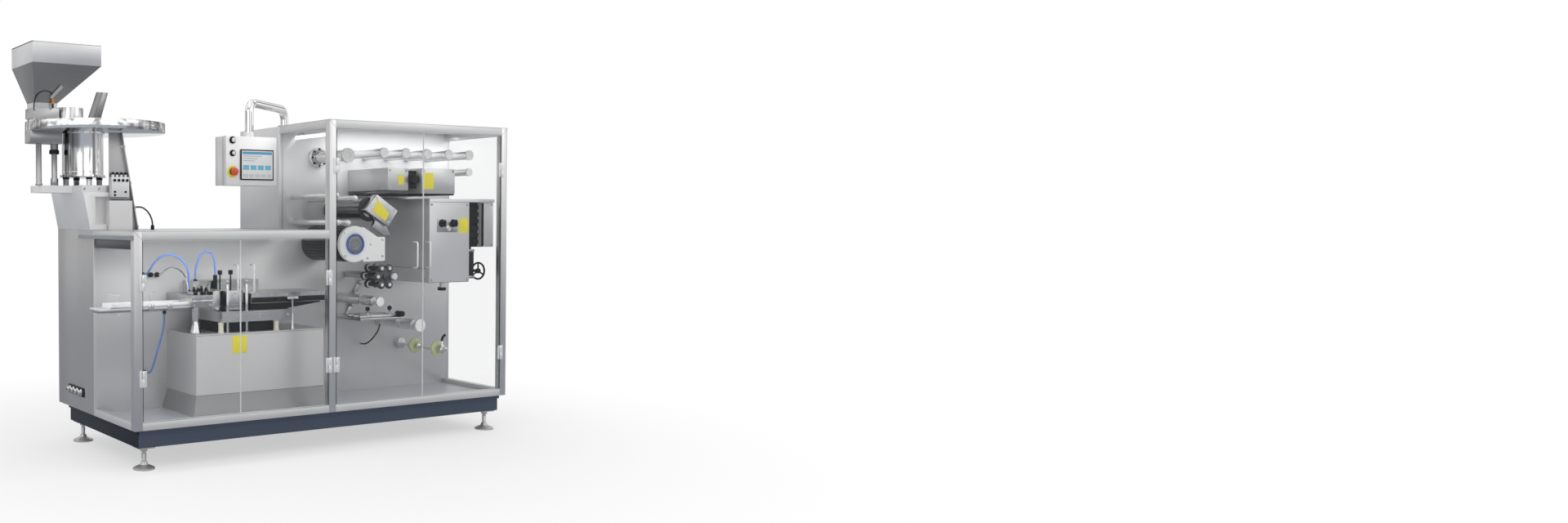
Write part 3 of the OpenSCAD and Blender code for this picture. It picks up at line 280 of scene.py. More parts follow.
def shade_step_group():
    """Brushed sheet with painted shade: darker past a level along a direction, and darker on its undersides
    as painted shade of the darker surroundings they would mirror.
    """
    tree, given, place = group_of("Folded Sheet", {
        "Direction": (0.0, 0.0, 1.0), "Level": 1.0, "Below": 0.6, "Blur": 0.0005, "Underside": 1.0,
        "Stretch": LENGTHWISE, "Roughness": 0.3})
    grain = add(tree, "ShaderNodeGroup", {label: given[label] for label in ("Stretch", "Roughness")},
                node_tree=bpy.data.node_groups["Brushed Grain"])
    reach = vectors(tree, "DOT_PRODUCT", place, given["Direction"])
    edges = [maths(tree, kind, given["Level"], given["Blur"]) for kind in ("SUBTRACT", "ADD")]
    step = ranged(tree, reach, edges, (given["Below"], 1.0), "SMOOTHSTEP")
    # Painted shade on the undersides
    down = maths(tree, "LESS_THAN", facing_up(tree), -0.15)
    shade = maths(tree, "MULTIPLY_ADD", down, maths(tree, "SUBTRACT", given["Underside"], 1.0), 1.0)
    tone = maths(tree, "MULTIPLY", maths(tree, "MULTIPLY", shade, step), grain["Tone"])
    put_out(tree, tone, grain["Roughness"], grain["Height"])


# Finishes


def material_of(name):
    """A new material, its tree and its shader."""
    material = bpy.data.materials.new(name)
    material.use_nodes = True
    return material, material.node_tree, material.node_tree.nodes["Principled BSDF"]


def surface(name, colour, group, values, metallic=0.0, bump=0.03, distance=0.0004, spec=0.5, coat=0.0,
            glow=0.0):
    """A material whose colour, roughness and bump vary through a group; a colour may name a setting."""
    colour = tuple(getattr(finish(), colour)) if isinstance(colour, str) else colour
    material, tree, shader = material_of(name)
    part = add(tree, "ShaderNodeGroup", values, node_tree=bpy.data.node_groups[group])
    tint = add(tree, "ShaderNodeVectorMath", {0: colour, "Scale": part["Tone"]}, operation="SCALE")
    relief = add(tree, "ShaderNodeBump", {"Strength": bump, "Distance": distance, "Height": part["Height"]})
    fill(tree, shader, {
        "Base Color": tint[0], "Roughness": part["Roughness"], "Normal": relief[0], "Metallic": metallic,
        "Specular IOR Level": spec, "Coat Weight": coat, "Emission Color": WHITE, "Emission Strength": glow})
    material.diffuse_color = (*colour, 1)
    return material


def brushed(name, colour, roughness, stretch, contrast=0.12, bump=0.03, metallic=1.0):
    values = {"Stretch": stretch, "Contrast": contrast, "Roughness": roughness}
    return surface(name, colour, "Brushed Grain", values, metallic, bump)


def moulded(name, colour, roughness=0.4, scale=420.0, contrast=0.1, coat=0.0, spec=0.5, glow=0.0):
    values = {"Scale": scale, "Contrast": contrast, "Roughness": roughness}
    return surface(name, colour, "Moulded Skin", values, 0.0, 0.05, 0.0003, spec, coat, glow)


def reflection_streaked(name, colour, axis, highlight_side, bands, dark):
    values = {"Axis": at(*axis, 0), "Bright Side": (*highlight_side, 0), "Bands": bands, "Dark": dark}
    return surface(name, colour, "Turned Streaks", values, 1.0, 0.001)


# Brushed sheet with painted shade past a level and on its undersides
def shade_stepped(name, colour, values, roughness=0.3, metallic=1.0, stretch=UPRIGHT, spec=0.5):
    values = {"Stretch": stretch, "Roughness": roughness, **values}
    return surface(name, colour, "Folded Sheet", values, metallic, spec=spec)


def see_through(name):
    """Clear sheet: thin, glossy and nearly all see-through."""
    material, tree, shader = material_of(name)
    part = add(tree, "ShaderNodeGroup", {"Scale": 3.0, "Contrast": 0.06, "Roughness": 0.06},
               node_tree=bpy.data.node_groups["Moulded Skin"])
    rim = add(tree, "ShaderNodeLayerWeight", {"Blend": 0.25})["Facing"]
    fill(tree, shader, {"Base Color": (0.40, 0.43, 0.45, 1), "Specular IOR Level": 0.6,
                        "Roughness": part["Roughness"],
                        "Alpha": maths(tree, "MULTIPLY_ADD", rim, 0.08, finish().pane_alpha)})
    material.diffuse_color = (0.9, 0.95, 0.97, 0.2)
    return material


def grey(tone, blue=0.005):
    """A grey with a trace of blue."""
    return (tone, tone, tone + blue)


BLACK, RUBBER, BRIGHT, MACHINED = "black moulding", "black cable skin", "polished steel", "machined steel"
SHADED, HINGE, PANE, EDGE = "shaded cabinet steel", "pale cast hinge", "clear pane", "pane edge"
FRAME, CABINET, ROLLER = "drawn frame steel", "pale cabinet steel", "turned roller steel"
ENAMEL, CREAM, YELLOW, CAP = "white enamel", "cream bush", "yellow notice plate", "pale roller cap"

# Finishes by name: the slot of added pieces that have it, its maker and the maker's values
LOOKS = {
    BLACK: ("black_plastic", moulded, grey(0.012, 0.001), 0.46, 420.0, 0.1, 0.0, 0.18),
    RUBBER: ("cable_black", moulded, grey(0.016, 0.001), 0.55, 900.0),
    BRIGHT: ("bright_steel", brushed, "polished_steel", 0.1, EVEN, 0.03, 0.004),
    MACHINED: ("satin_steel", brushed, grey(0.58, 0), 0.24, LENGTHWISE, 0.14),
    SHADED: ("satin_steel", brushed, grey(0.42), 0.38, UPRIGHT),
    HINGE: ("bright_steel", brushed, grey(0.88, 0), 0.28, UPRIGHT, 0.05, 0.02, 0.6),
    PANE: ("clear_pane", see_through),
    EDGE: ("clear_pane", moulded, (0.80, 0.84, 0.85), 0.3, 300.0, 0.05, 0.3),
    FRAME: (None, brushed, "frame_steel", 0.38, COARSE, 0.06, 0.015),
    CABINET: (None, brushed, grey(0.72), 0.38, UPRIGHT, 0.1, 0.03, 0.55),
    ROLLER: ("bright_steel", brushed, grey(0.78), 0.22, DEEP, 0.1, 0.03, 0.8),
    ENAMEL: ("white_cast", moulded, grey(0.84, 0), 0.35, 500.0, 0.06, 0.2),
    CREAM: (None, moulded, (0.72, 0.70, 0.58)),
    YELLOW: (None, moulded, "plate_yellow", 0.38, 500.0, 0.08, 0.2),
    CAP: (None, moulded, grey(0.70, 0), 0.35, 400.0, 0.06, 0.2),
    # Painted shade: the wall is darker below 1.46 m
    "satin wall steel": (None, shade_stepped, grey(0.92), {"Level": 1.46, "Blur": 0.16, "Below": 0.66}, 0.34, 0.45),
    # Painted shade: the rails are a little darker below 256 mm
    "rail steel": (None, shade_stepped, "frame_steel", {"Level": 0.2561, "Below": 0.96}, 0.42, 0.6, LENGTHWISE),
    # Painted shade: the press is darker below 341 mm
    "press sheet": (None, shade_stepped, grey(0.54), {"Level": 0.341, "Below": 0.62}, 0.4, 0.5),
    # Painted shade: the hopper's undersides are darker
    "hopper sheet": ("hopper_steel", shade_stepped, grey(0.84, 0), {"Level": 0.0, "Underside": 0.36},
                     0.44, 1.0, LENGTHWISE),
    # Painted shade: the plinth's left end is darker
    "plinth paint": (None, shade_stepped, "plinth_paint",
                     {"Direction": RIGHT, "Level": at(36, 0, 0).x, "Below": 0.22}, 0.4, 0.0, UPRIGHT, 0.16),
    # Painted shade: the ring and deflector are darker right of 38 mm
    "ring and deflector sheet": (None, shade_stepped, grey(0.66),
                                 {"Direction": LEFT, "Level": -at(38, 0, 0).x, "Below": 0.36}, 0.22),
    # Painted reflection: streaks and a painted highlight on the bowl and the drum
    "polished bowl": ("bright_steel", reflection_streaked, grey(0.88), BOWL, (-0.51, -0.86), 9.0, 0.24),
    "polished drum": (None, reflection_streaked, grey(0.94), DRUM, (0.12, -0.99), 2.2, 0.12),
    "bright chrome": (None, brushed, grey(0.80), 0.05, EVEN, 0.03, 0.002),
    "cast foot": (None, brushed, (0.58, 0.57, 0.54), 0.4, COARSE, 0.2, 0.05, 0.7),
    "deck sheet": (None, brushed, (0.68, 0.71, 0.75), 0.3, LENGTHWISE, 0.1, 0.03, 0.45),
    # Painted shade: the rear cabinet is a darker copy of the cabinet steel
    "rear cabinet sheet": (None, brushed, grey(0.46), 0.36, UPRIGHT, 0.12, 0.03, 0.7),
    "shaded duct sheet": (None, brushed, grey(0.14), 0.4, DEEP),
    "pale pedestal sheet": (None, brushed, grey(0.78), 0.36, UPRIGHT, 0.08, 0.03, 0.5),
    # Painted shade: the hopper support is darker, as it stands in the shade of the bowl
    "feeder bracket steel": (None, brushed, grey(0.42), 0.30, UPRIGHT, 0.06),
    "pale cover sheet": (None, brushed, grey(0.44), 0.36, UPRIGHT, 0.08),
    "valve box sheet": (None, brushed, grey(0.74), 0.4, UPRIGHT, 0.1, 0.03, 0.45),
    "bright chute sheet": (None, brushed, grey(0.92), 0.3, LENGTHWISE, 0.06, 0.03, 0.5),
    "print box steel": (None, brushed, grey(0.62), 0.34, UPRIGHT, 0.08, 0.03, 0.7),
    "burnished dark roller": (None, brushed, grey(0.05, 0.004), 0.3, DEEP, 0.25),
    "pale pendant sheet": (None, brushed, grey(0.84), 0.38, UPRIGHT, 0.06, 0.02, 0.55),
    "grey star wheel": (None, brushed, grey(0.11), 0.36, DEEP, 0.2),
    "ground pale steel": ("bright_steel", brushed, grey(0.74, 0), 0.3, LENGTHWISE, 0.08),
    "etched switch plate": ("satin_steel", brushed, grey(0.44), 0.4, LENGTHWISE, 0.1),
    "shaded bearing steel": ("satin_steel", brushed, grey(0.30, 0.01), 0.25, LENGTHWISE, 0.3),
    "grey roller coat": ("dark_roller", brushed, grey(0.21), 0.16, DEEP, 0.1),
    "blue bearing ring": (None, moulded, (0.03, 0.10, 0.42), 0.25, 600.0, 0.08, 0.4),
    "blue hose skin": (None, moulded, "hose_blue", 0.22, 700.0, 0.08, 0.4),
    "pale green cone": (None, moulded, (0.52, 0.57, 0.30)),
    "pale button": (None, moulded, (0.72, 0.72, 0.71), 0.3, 400.0, 0.05, 0.3),
    "red stop button": (None, moulded, (0.62, 0.06, 0.03), 0.28, 500.0, 0.05, 0.4),
    "buff roller end": (None, moulded, (0.58, 0.52, 0.46)),
    "lamp tube": (None, moulded, (0.86, 0.87, 0.88), 0.3, 300.0, 0.03, 0.0, 0.5, 0.9),
    "smoked sight tube": ("clear_pane", moulded, (0.36, 0.37, 0.38), 0.2, 300.0, 0.05, 0.3),
    "orange sensor": (None, moulded, (0.62, 0.22, 0.03), 0.35),
    "screen face": (None, moulded, (0.74, 0.745, 0.75), 0.2, 300.0, 0.03, 0.3),
    "screen header": (None, moulded, (0.10, 0.34, 0.55), 0.3, 300.0, 0.04),
    "screen tiles": (None, moulded, (0.16, 0.45, 0.62), 0.3, 300.0, 0.04),
    "screen rows": (None, moulded, (0.45, 0.47, 0.50), 0.3, 300.0, 0.04),
    "screen keys": (None, moulded, (0.52, 0.56, 0.58), 0.3, 300.0, 0.04),
}

# The solids' finishes, with the rounding of edges in millimetres, where None takes the setting
SOLIDS = (
    ("plinth paint", 2, "base_plinth"),
    ("cast foot", None, "levelling_feet"),
    ("deck sheet", None, "deck_floor"),
    (FRAME, 2, "frame_posts"),
    (FRAME, 0.8, "roof_sheets"),
    (FRAME, 0.5, "side_ledge"),
    ("rail steel", 2, "frame_rails"),
    ("satin wall steel", None, "mounting_wall"),
    ("rear cabinet sheet", 2, "rear_cabinet"),
    (CABINET, 2, "tall_cabinet control_cabinet"),
    (CABINET, None, "drive_box"),
    (PANE, 0, "left_window side_windows low_left_door low_right_door tall_left_door tall_right_door"),
    (HINGE, 0.8, "frame_hinges low_left_fittings low_right_fittings tall_left_fittings tall_right_fittings"),
    ("shaded duct sheet", None, "end_duct"),
    ("bright chrome", 0, "pendant_arm"),
    ("pale pedestal sheet", None, "feeder_pedestal"),
    ("polished drum", 0.8, "feeder_drum"),
    ("polished bowl", 1, "feeder_bowl"),
    ("ring and deflector sheet", 0.6, "bowl_fittings"),
    ("hopper sheet", 0.6, "hopper"),
    ("feeder bracket steel", None, "hopper_support"),
    ("pale cover sheet", 0.6, "chute_cover"),
    ("valve box sheet", None, "feeder_boxes"),
    (BLACK, None, "press_heaters"),
    (BLACK, 1, "hose_fittings pendant_controls"),
    (BLACK, 2, "print_head drive_motor"),
    ("press sheet", 2, "press_housing"),
    (BRIGHT, 0.6, "press_posts"),
    (BRIGHT, 0.8, "reel_shaft"),
    (MACHINED, None, "press_platens cutting_head roller_guard"),
    (MACHINED, 0.8, "splice_station"),
    ("bright chute sheet", 0.8, "discharge_chute"),
    (ROLLER, 0.8, "guide_rollers"),
    ("print box steel", None, "print_housings"),
    ("burnished dark roller", 0.8, "sealing_rollers"),
    (ENAMEL, 2, "drum_end_plate"),
    ("blue bearing ring", 1, "bearing_ring"),
    ("pale pendant sheet", 2, "pendant_box"),
    ("grey star wheel", 1, "star_wheel"),
    ("pale green cone", 1, "reel_cones"),
)


def paint(look):
    """The material of a finish, made when it is first asked for."""
    _, maker, *values = LOOKS[look]
    return bpy.data.materials.get(look) or maker(look, *values)


# Mesh makers, all in machine millimetres


def form(build):
    """Lets a mesh maker take its measures first and the mesh that it goes into later."""
    return lambda *measures: lambda bm: build(bm, *measures)


def rounded(bm, edges, soft, steps=2):
    bmesh.ops.bevel(bm, geom=list(edges), offset=soft / 1000, segments=steps, profile=0.5, affect="EDGES")


@form
def box(bm, x, y, z, soft=1.0, steps=2):
    """Block between two corners with rounded edges."""
    made = bmesh.ops.create_cube(bm, size=1.0)["verts"]
    low, high = at(x[0], y[0], z[0]), at(x[1], y[1], z[1])
    for v in made:
        v.co = Vector([low[i] + (v.co[i] + 0.5) * (high[i] - low[i]) for i in range(3)])
    rounded(bm, {e for v in made for e in v.link_edges}, soft, steps)


def skin(bm, rings, closed=False):
    """Faces between rings of points, all of one length or single points."""
    sides = max(len(points) for points in rings)
    for a, b in zip(rings, rings[1:] + rings[:closed]):
        for k in range(sides):
            n = (k + 1) % sides
            corners = list(dict.fromkeys((a[k % len(a)], a[n % len(a)], b[n % len(b)], b[k % len(b)])))
            if len(corners) > 2:
                bm.faces.new(corners)


@form
def lathe(bm, centre, axis, profile, sides=28, closed=False):
    """Turned form: radius and distance along the axis by steps, closed at its ends or as a ring."""
    turn = Vector(axis).to_track_quat("Z", "Y").to_matrix()
    if not closed:
        start, end = profile[0], profile[-1]
        profile = [(0, start[1])] * (start[0] > 0) + profile + [(0, end[1])] * (end[0] > 0)
    skin(bm, [[bm.verts.new(at(*centre) + turn @ Vector((*p, h)) / 1000)
               for p in ring((0, 0), r, sides if r else 1)] for r, h in profile], closed)


def capped(bm, rings):
    skin(bm, rings)
    bm.faces.new(rings[0][::-1])
    bm.faces.new(rings[-1])


@form
def tube(bm, points, r, sides=12):
    """Round bar along points, closed at its ends."""
    path = [at(*p) for p in points]
    side = (path[1] - path[0]).normalized().orthogonal()
    rings = []
    for i, p in enumerate(path):
        along = (path[min(i + 1, len(path) - 1)] - path[max(i - 1, 0)]).normalized()
        side = (side - along * side.dot(along)).normalized()
        up = along.cross(side)
        rings.append([bm.verts.new(p + (side * u + up * v) / 1000) for u, v in ring((0, 0), r, sides)])
    capped(bm, rings)


@form
def knob(bm, x, y, z, r, depth, grips=10):
    """Fluted knob that faces the front."""
    rings = []
    for share, radius in ((0, 1.0), (0.7, 0.96), (0.92, 0.9), (1.0, 0.76)):
        points = []
        for k, (u, v) in enumerate(ring((0, 0), r * radius, grips * 4)):
            flute = 1 - 0.07 * (1 - math.cos(k * math.pi / 2)) * (share < 0.95)
            points.append(bm.verts.new(at(x + u * flute, y - depth * share, z + v * flute)))
        rings.append(points)
    capped(bm, rings)


@form
def slab(bm, outline, y, soft=1.0):
    """Plate with an outline in X and Z between two depths, its edges rounded."""
    front, back = ([bm.verts.new(at(px, depth, pz)) for px, pz in outline] for depth in y)
    faces = [bm.faces.new(front), bm.faces.new(back[::-1])]
    faces += [bm.faces.new((front[k], front[k - 1], back[k - 1], back[k])) for k in range(len(outline))]
    bmesh.ops.recalc_face_normals(bm, faces=faces)
    if soft:
        rounded(bm, {e for f in faces for e in f.edges}, soft)


@form
def plate(bm, x, y, z, r=5):
    """Thin plate with rounded corners on a face that looks to the front."""
    outline = []
    for quarter, (cx, cz) in enumerate(((x[1] - r, z[1] - r), (x[0] + r, z[1] - r), (x[0] + r, z[0] + r),
                                        (x[1] - r, z[0] + r))):
        corner = ring((cx, cz), r, 16)
        outline += [corner[(4 * quarter + i) % 16] for i in range(5)]
    slab(outline, (y - 1.2, y), 0.3)(bm)


def linked(name, data):
    """A new object in the scene."""
    made = bpy.data.objects.new(name, data)
    bpy.context.scene.collection.objects.link(made)
    return made


def keep(name, mesh, body):
    """A finished piece that rides on a body."""
    piece = linked(name, mesh)
    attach(piece, body)


def make(name, look, *forms, body="machine"):
    """A finished piece made of forms."""
    bm = bmesh.new()
    for put in forms:
        put(bm)
    bmesh.ops.remove_doubles(bm, verts=bm.verts, dist=WELD_GAP)
    bmesh.ops.recalc_face_normals(bm, faces=bm.faces)
    for f in bm.faces:
        f.smooth = True
    for e in bm.edges:
        e.smooth = e.calc_face_angle(0.0) < SMOOTH_ANGLE
    mesh = bpy.data.meshes.new(name)
    bm.to_mesh(mesh)
    bm.free()
    mesh.materials.append(paint(look))
    keep(name, mesh, body)


# Geometry Nodes for what repeats

# Steps of a head: sides, then shares of the radius and of the height, and of the height as lift
HEADS = {
    "Screw Heads": ((16, 1.35, 0.25, 0.125), (6, 1.0, 0.75, 0.62)),
    "Round Studs": ((16, 1.0, 0.8, 0.4), (16, 0.72, 0.2, 0.9)),
}


def modifier_tree(name, **inputs):
    tree = bpy.data.node_groups.new(name, "GeometryNodeTree")
    tree.is_modifier = True
    for label, kind in {"Geometry": "Geometry", **inputs}.items():
        tree.interface.new_socket(label, in_out="INPUT", socket_type="NodeSocket" + kind)
    tree.interface.new_socket("Geometry", in_out="OUTPUT", socket_type="NodeSocketGeometry")
    return tree, add(tree, "NodeGroupInput")


def put_copies(tree, given, values):
    """Puts out instances on points as one mesh with the tree's material."""
    spread = add(tree, "GeometryNodeInstanceOnPoints", values)[0]
    real = add(tree, "GeometryNodeRealizeInstances", {0: spread})[0]
    painted = add(tree, "GeometryNodeSetMaterial", {"Geometry": real, "Material": given["Material"]})[0]
    fill(tree, tree.nodes.new("NodeGroupOutput"), {"Geometry": painted})
    return tree


def heads_tree(name):
    """Stepped heads, one on each point and turned to the point's facing."""
    tree, given = modifier_tree(name, Radius="Float", Height="Float", Material="Material")
    join = tree.nodes.new("GeometryNodeJoinGeometry")
    for sides, *shares in HEADS[name]:
        radius, height, lift = (maths(tree, "MULTIPLY", given[label], share)
                                for label, share in zip(("Radius", "Height", "Height"), shares))
        head = add(tree, "GeometryNodeMeshCylinder", {"Vertices": sides, "Radius": radius, "Depth": height})
        shift = add(tree, "ShaderNodeCombineXYZ", {"Z": lift})[0]
        moved = add(tree, "GeometryNodeTransform", {"Geometry": head["Mesh"], "Translation": shift})[0]
        fill(tree, join, {0: moved})
    facing = add(tree, "GeometryNodeInputNamedAttribute", {"Name": "facing"}, data_type="FLOAT_VECTOR")
    turn = add(tree, "FunctionNodeAlignRotationToVector", {"Vector": facing["Attribute"]}, axis="Z")[0]
    copies = {"Points": given["Geometry"], "Instance": join.outputs[0], "Rotation": turn}
    return put_copies(tree, given, copies)


def slat_tree(name):
    """Row of slats from one starting block, repeated a number of times along a step."""
    tree, given = modifier_tree(name, Count="Int", Step="Vector", Material="Material")
    spacing = {"Count": given["Count"], "Offset": given["Step"]}
    row = add(tree, "GeometryNodeMeshLine", spacing, mode="OFFSET")[0]
    return put_copies(tree, given, {"Points": row, "Instance": given["Geometry"]})


def smooth_tree(name):
    """Smooth shading with sharp edges above an angle, for the solids' round faces."""
    tree, given = modifier_tree(name)
    angle = add(tree, "GeometryNodeInputMeshEdgeAngle")["Unsigned Angle"]
    soft = maths(tree, "LESS_THAN", angle, SMOOTH_ANGLE)
    faces = add(tree, "GeometryNodeSetShadeSmooth", {"Geometry": given["Geometry"]}, domain="FACE")[0]
    shading = {"Geometry": faces, "Shade Smooth": soft}
    edges = add(tree, "GeometryNodeSetShadeSmooth", shading, domain="EDGE")[0]
    fill(tree, tree.nodes.new("NodeGroupOutput"), {"Geometry": edges})
    return tree


def tree_of(name, maker):
    return bpy.data.node_groups.get(name) or maker(name)


def grow(name, mesh, tree, values, look, body="machine"):
    """Runs a tree on a mesh and keeps the result as a plain piece."""
    source = linked(name + " source", mesh)
    modifier = source.modifiers.new(name, "NODES")
    modifier.node_group = tree
    sockets = {s.name: s.identifier for s in tree.interface.items_tree if s.in_out == "INPUT"}
    for label, value in {**values, "Material": paint(look)}.items():
        modifier[sockets[label]] = value
    ready = source.evaluated_get(bpy.context.evaluated_depsgraph_get())
    grown = bpy.data.meshes.new_from_object(ready)
    bpy.data.objects.remove(source)
    if not grown.polygons:
        raise RuntimeError(f"{name} came out empty")
    grown.name = name
    keep(name, grown, body)


def heads(kind, points, name, body, radius, height, look):
    """Heads on points given as ((x, y, z), (facing)); radius and height are in metres."""
    mesh = bpy.data.meshes.new(name + " points")
    mesh.from_pydata([at(*p) for p, _ in points], [], [])
    facing = mesh.attributes.new("facing", "FLOAT_VECTOR", "POINT")
    for i, (_, f) in enumerate(points):
        facing.data[i].vector = f
    grow(name, mesh, tree_of(kind, heads_tree), {"Radius": radius, "Height": height}, look, body)


def screws(points, name, body="machine", radius=None, height=0.005, look=BRIGHT):
    heads("Screw Heads", points, name, body, radius or finish().screw_radius, height, look)


def studs(points, name, radius, height, look):
    heads("Round Studs", points, name, "machine", radius, height, look)


def vent(name, x, y, z, count):
    """Upright row of rounded slats, the first between two corners."""
    bm = bmesh.new()
    box(x, y, z, 0.6, 1)(bm)
    mesh = bpy.data.meshes.new(name + " slat")
    bm.to_mesh(mesh)
    bm.free()
    grow(name, mesh, tree_of("Slat Row", slat_tree), {"Count": count, "Step": (0.0, 0.0, 0.02)}, SHADED)


class PACKER_OT_camera(bpy.types.Operator):
    """Place the camera where the photograph was taken from"""
    bl_idname = "packer.camera"
    bl_label = "Camera"

    def execute(self, context):
        camera = linked("camera", bpy.data.cameras.new("camera"))
        camera.data.sensor_width = 36
        camera.data.lens = CAMERA_LENS
        camera.data.shift_x = CAMERA_SHIFT
        camera.data.clip_end = 100
        aside, ahead, height = CAMERA_PLACE
        camera.location = Vector((CORNER.x + aside, CORNER.y + ahead, height))
        yaw, pitch = (math.radians(angle) for angle in CAMERA_AIM)
        look = Vector((math.sin(yaw) * math.cos(pitch), math.cos(yaw) * math.cos(pitch), -math.sin(pitch)))
        camera.rotation_euler = look.to_track_quat("-Z", "Y").to_euler()
        context.scene.camera = camera
        context.scene.view_settings.view_transform = "Standard"
        return {"FINISHED"}


def spaced(points):
    """As many points as a cord needs, spaced evenly along a route."""
    steps = [0.0]
    for a, b in zip(points, points[1:]):
        steps.append(steps[-1] + (b - a).length)
    spread = []
    for i in range(CORD_POINTS):
        want = steps[-1] * i / (CORD_POINTS - 1)
        k = max(j for j in range(len(points) - 1) if steps[j] <= want + 1e-9)
        spread.append(points[k].lerp(points[k + 1], (want - steps[k]) / (steps[k + 1] - steps[k])))
    return spread


def lay_cord(name, route, diameter, look, node):
    """A hose or cable as a round curve along its route, in place of its solid."""
    spread = [at(*p) for p in route]
    if len(spread) < CORD_POINTS:
        spread = spaced(spread)
    curve = bpy.data.curves.new(name, "CURVE")
    curve.dimensions = "3D"
    curve.bevel_depth = diameter / 2
    curve.bevel_resolution = 4
    curve.use_fill_caps = True
    spline = curve.splines.new("POLY")
    spline.points.add(len(spread) - 1)
    for p, q in zip(spline.points, spread):
        p.co = (*q, 1)
    spline.use_smooth = True
    curve.materials.append(paint(look))
    piece = linked(name, curve)
    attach(piece, "machine")
    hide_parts(node)


class PACKER_OT_hoses(bpy.types.Operator):
    """Lay the air hoses and cables along their routes"""
    bl_idname = "packer.hoses"
    bl_label = "Hoses and cables"

    def execute(self, context):
        for name, (node, route) in HOSES.items():
            lay_cord(name, route, HOSE_DIAMETER, "blue hose skin", node)
        for name, (node, route) in CABLES.items():
            lay_cord(name, route, CABLE_DIAMETER, RUBBER, node)
        return {"FINISHED"}


def dress(node, look, rounding):
    """Gives a solid its finish, rounded edges and smooth round faces."""
    solid = NODES[node]
    solid.data.materials.clear()
    solid.data.materials.append(paint(look))
    weld = solid.modifiers.new("weld", "WELD")
    weld.merge_threshold = 0.00002
    size = finish().edge_round if rounding is None else rounding / 1000
    if size:
        bevel = solid.modifiers.new("edges", "BEVEL")
        bevel.width = size
        bevel.segments = 2
        bevel.limit_method = "ANGLE"
        bevel.angle_limit = math.radians(40)
    smooth = solid.modifiers.new("smooth", "NODES")
    smooth.node_group = tree_of("Smooth Round Faces", smooth_tree)


class PACKER_OT_solids(bpy.types.Operator):
    """Give every solid of the frame its finish"""
    bl_idname = "packer.solids"
    bl_label = "Solids' finishes"

    def execute(self, context):
        for look, rounding, nodes in SOLIDS:
            for node in nodes.split():
                dress(node, look, rounding)
        return {"FINISHED"}


class PACKER_OT_pane_edges(bpy.types.Operator):
    """Add the sawn edges of the doors and windows, whose pale colour is partly the sheet's sawn edge and
    partly a painted highlight where they catch the light
    """
    bl_idname = "packer.pane_edges"
    bl_label = "Pane edges"

    def execute(self, context):
        for leaf in ("low_left", "low_right", "tall_left", "tall_right"):
            low, high = ((corner - CORNER) * 1000 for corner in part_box(leaf + "_door"))
            z = (low.z + FRAME_BOTTOM, high.z + FRAME_BOTTOM)
            free, hinged = (high.x, high.x + 1.2), (low.x - 1.4, low.x + 0.4)
            if leaf.endswith("right"):  # hinged on its right side
                free, hinged = (low.x - 1.2, low.x), (high.x - 0.4, high.x + 1.4)
            ends = [box((low.x + 2, high.x - 2), (1.5, 6.5), (level - 0.6, level + 0.6), 0.3) for level in z]
            make(leaf + "_pane_edge", EDGE, box(free, (0.5, 7.5), z, 0.4), *ends, body=leaf + "_leaf")
            make(leaf + "_seal", RUBBER, box(hinged, (1.5, 6.5), (z[0] + 1, z[1] - 1), 0.4, 1),
                 body=leaf + "_leaf")
        make("left_window_edges", EDGE, box((8, 18), (45.5, 47.5), (256, 1140), 0.5),
             box((8, 18), (228, 398), (792.5, 795.5), 0.5), box((8, 18), (228, 398), (894.5, 897.5), 0.5))
        return {"FINISHED"}


class PACKER_OT_fasteners(bpy.types.Operator):
    """Set the screws of hinges, housings and panels"""
    bl_idname = "packer.fasteners"
    bl_label = "Fasteners"

    def execute(self, context):
        hinges = {"low_left": (47.5, 14, 930), "low_right": (1177.5, -14, 930),
                  "tall_left": (1227.5, 14, 1555), "tall_right": (2427.5, -14, 1555)}
        fixed = []
        for leaf, (axis, aside, upper) in hinges.items():
            heights = [base + up for base in (440, upper) for up in (14, 42, 70)]
            own = [((axis + aside, -4, z), FRONT) for z in heights]
            fixed += [((axis - aside, -4, z), FRONT) for z in heights]
            screws(own, leaf + "_hinge_screws", leaf + "_leaf", 0.003, 0.003, HINGE)
        screws(fixed, "frame_hinge_screws", "machine", 0.003, 0.003, HINGE)
        rows = (((1690, 1808), 131, (1482, 1584)), ((1905, 2125), 88, (1466, 1584)),
                ((1965, 2237), 88, (932, 1384)), ((2378, 2440), 98, (1140, 1386)),
                ((840, 930, 1110, 1200, 1270), 215, (872,)), ((448, 546), 220, (828, 872)),
                ((615, 690, 830, 1015), 172, (762,)), ((-26, 60, 150, 236), 620, (1465,)))
        bearing = ((1552, 1150), (1636, 1080), (1636, 1176), (1530, 1070), (1375, 1085), (1372, 1218))
        guard = ((1512, 1350), (1574, 1418), (1696, 1346), (1650, 1280))
        around = [((*p, 1858), UP) for p in ring(ARM_FOOT, 36, 6)]
        around += [((x, y, z), FRONT) for xs, y, zs in rows for x in xs for z in zs]
        around += [(deep(p, 130), FRONT) for p in bearing] + [(deep(p, 96), FRONT) for p in guard]
        around += [((min(x, 270 - (z - LOW_ROOF) * 0.18), 596, z), FRONT)
                   for x in (130, 200) for z in (1440, 1510, 1700)]
        screws(around, "housing_screws")
        rear = [((x + REAR_STEP * i, REAR_FACE, z), BACK)
                for i in range(3) for x in (52, 422.5, 793) for z in (275, 1180)]
        rear += [((x, TALL_REAR_FACE, z), BACK) for x in (1245, 1600, 2050, 2413) for z in (1300, 1790)]
        screws(rear, "rear_panel_screws", "machine", 0.006, 0.004)
        return {"FINISHED"}


class PACKER_OT_plates(bpy.types.Operator):
    """Fix the blank yellow plates"""
    bl_idname = "packer.plates"
    bl_label = "Blank plates"

    def execute(self, context):
        make("yellow_plates", YELLOW, plate((662, 752), 180, (560, 656)),
             plate((1746, 1790), 131, (1502, 1558)),
             plate((1900, 1978), 88, (1476, 1572)), plate((2174, 2246), 88, (1214, 1302)),
             slab([(1541, 1345), (1573, 1412), (1658, 1330), (1630, 1284)], (94.8, 96), 0.3))
        make("switch_plate", "etched switch plate", plate((2005, 2161), 88, (1219, 1298)))
        return {"FINISHED"}


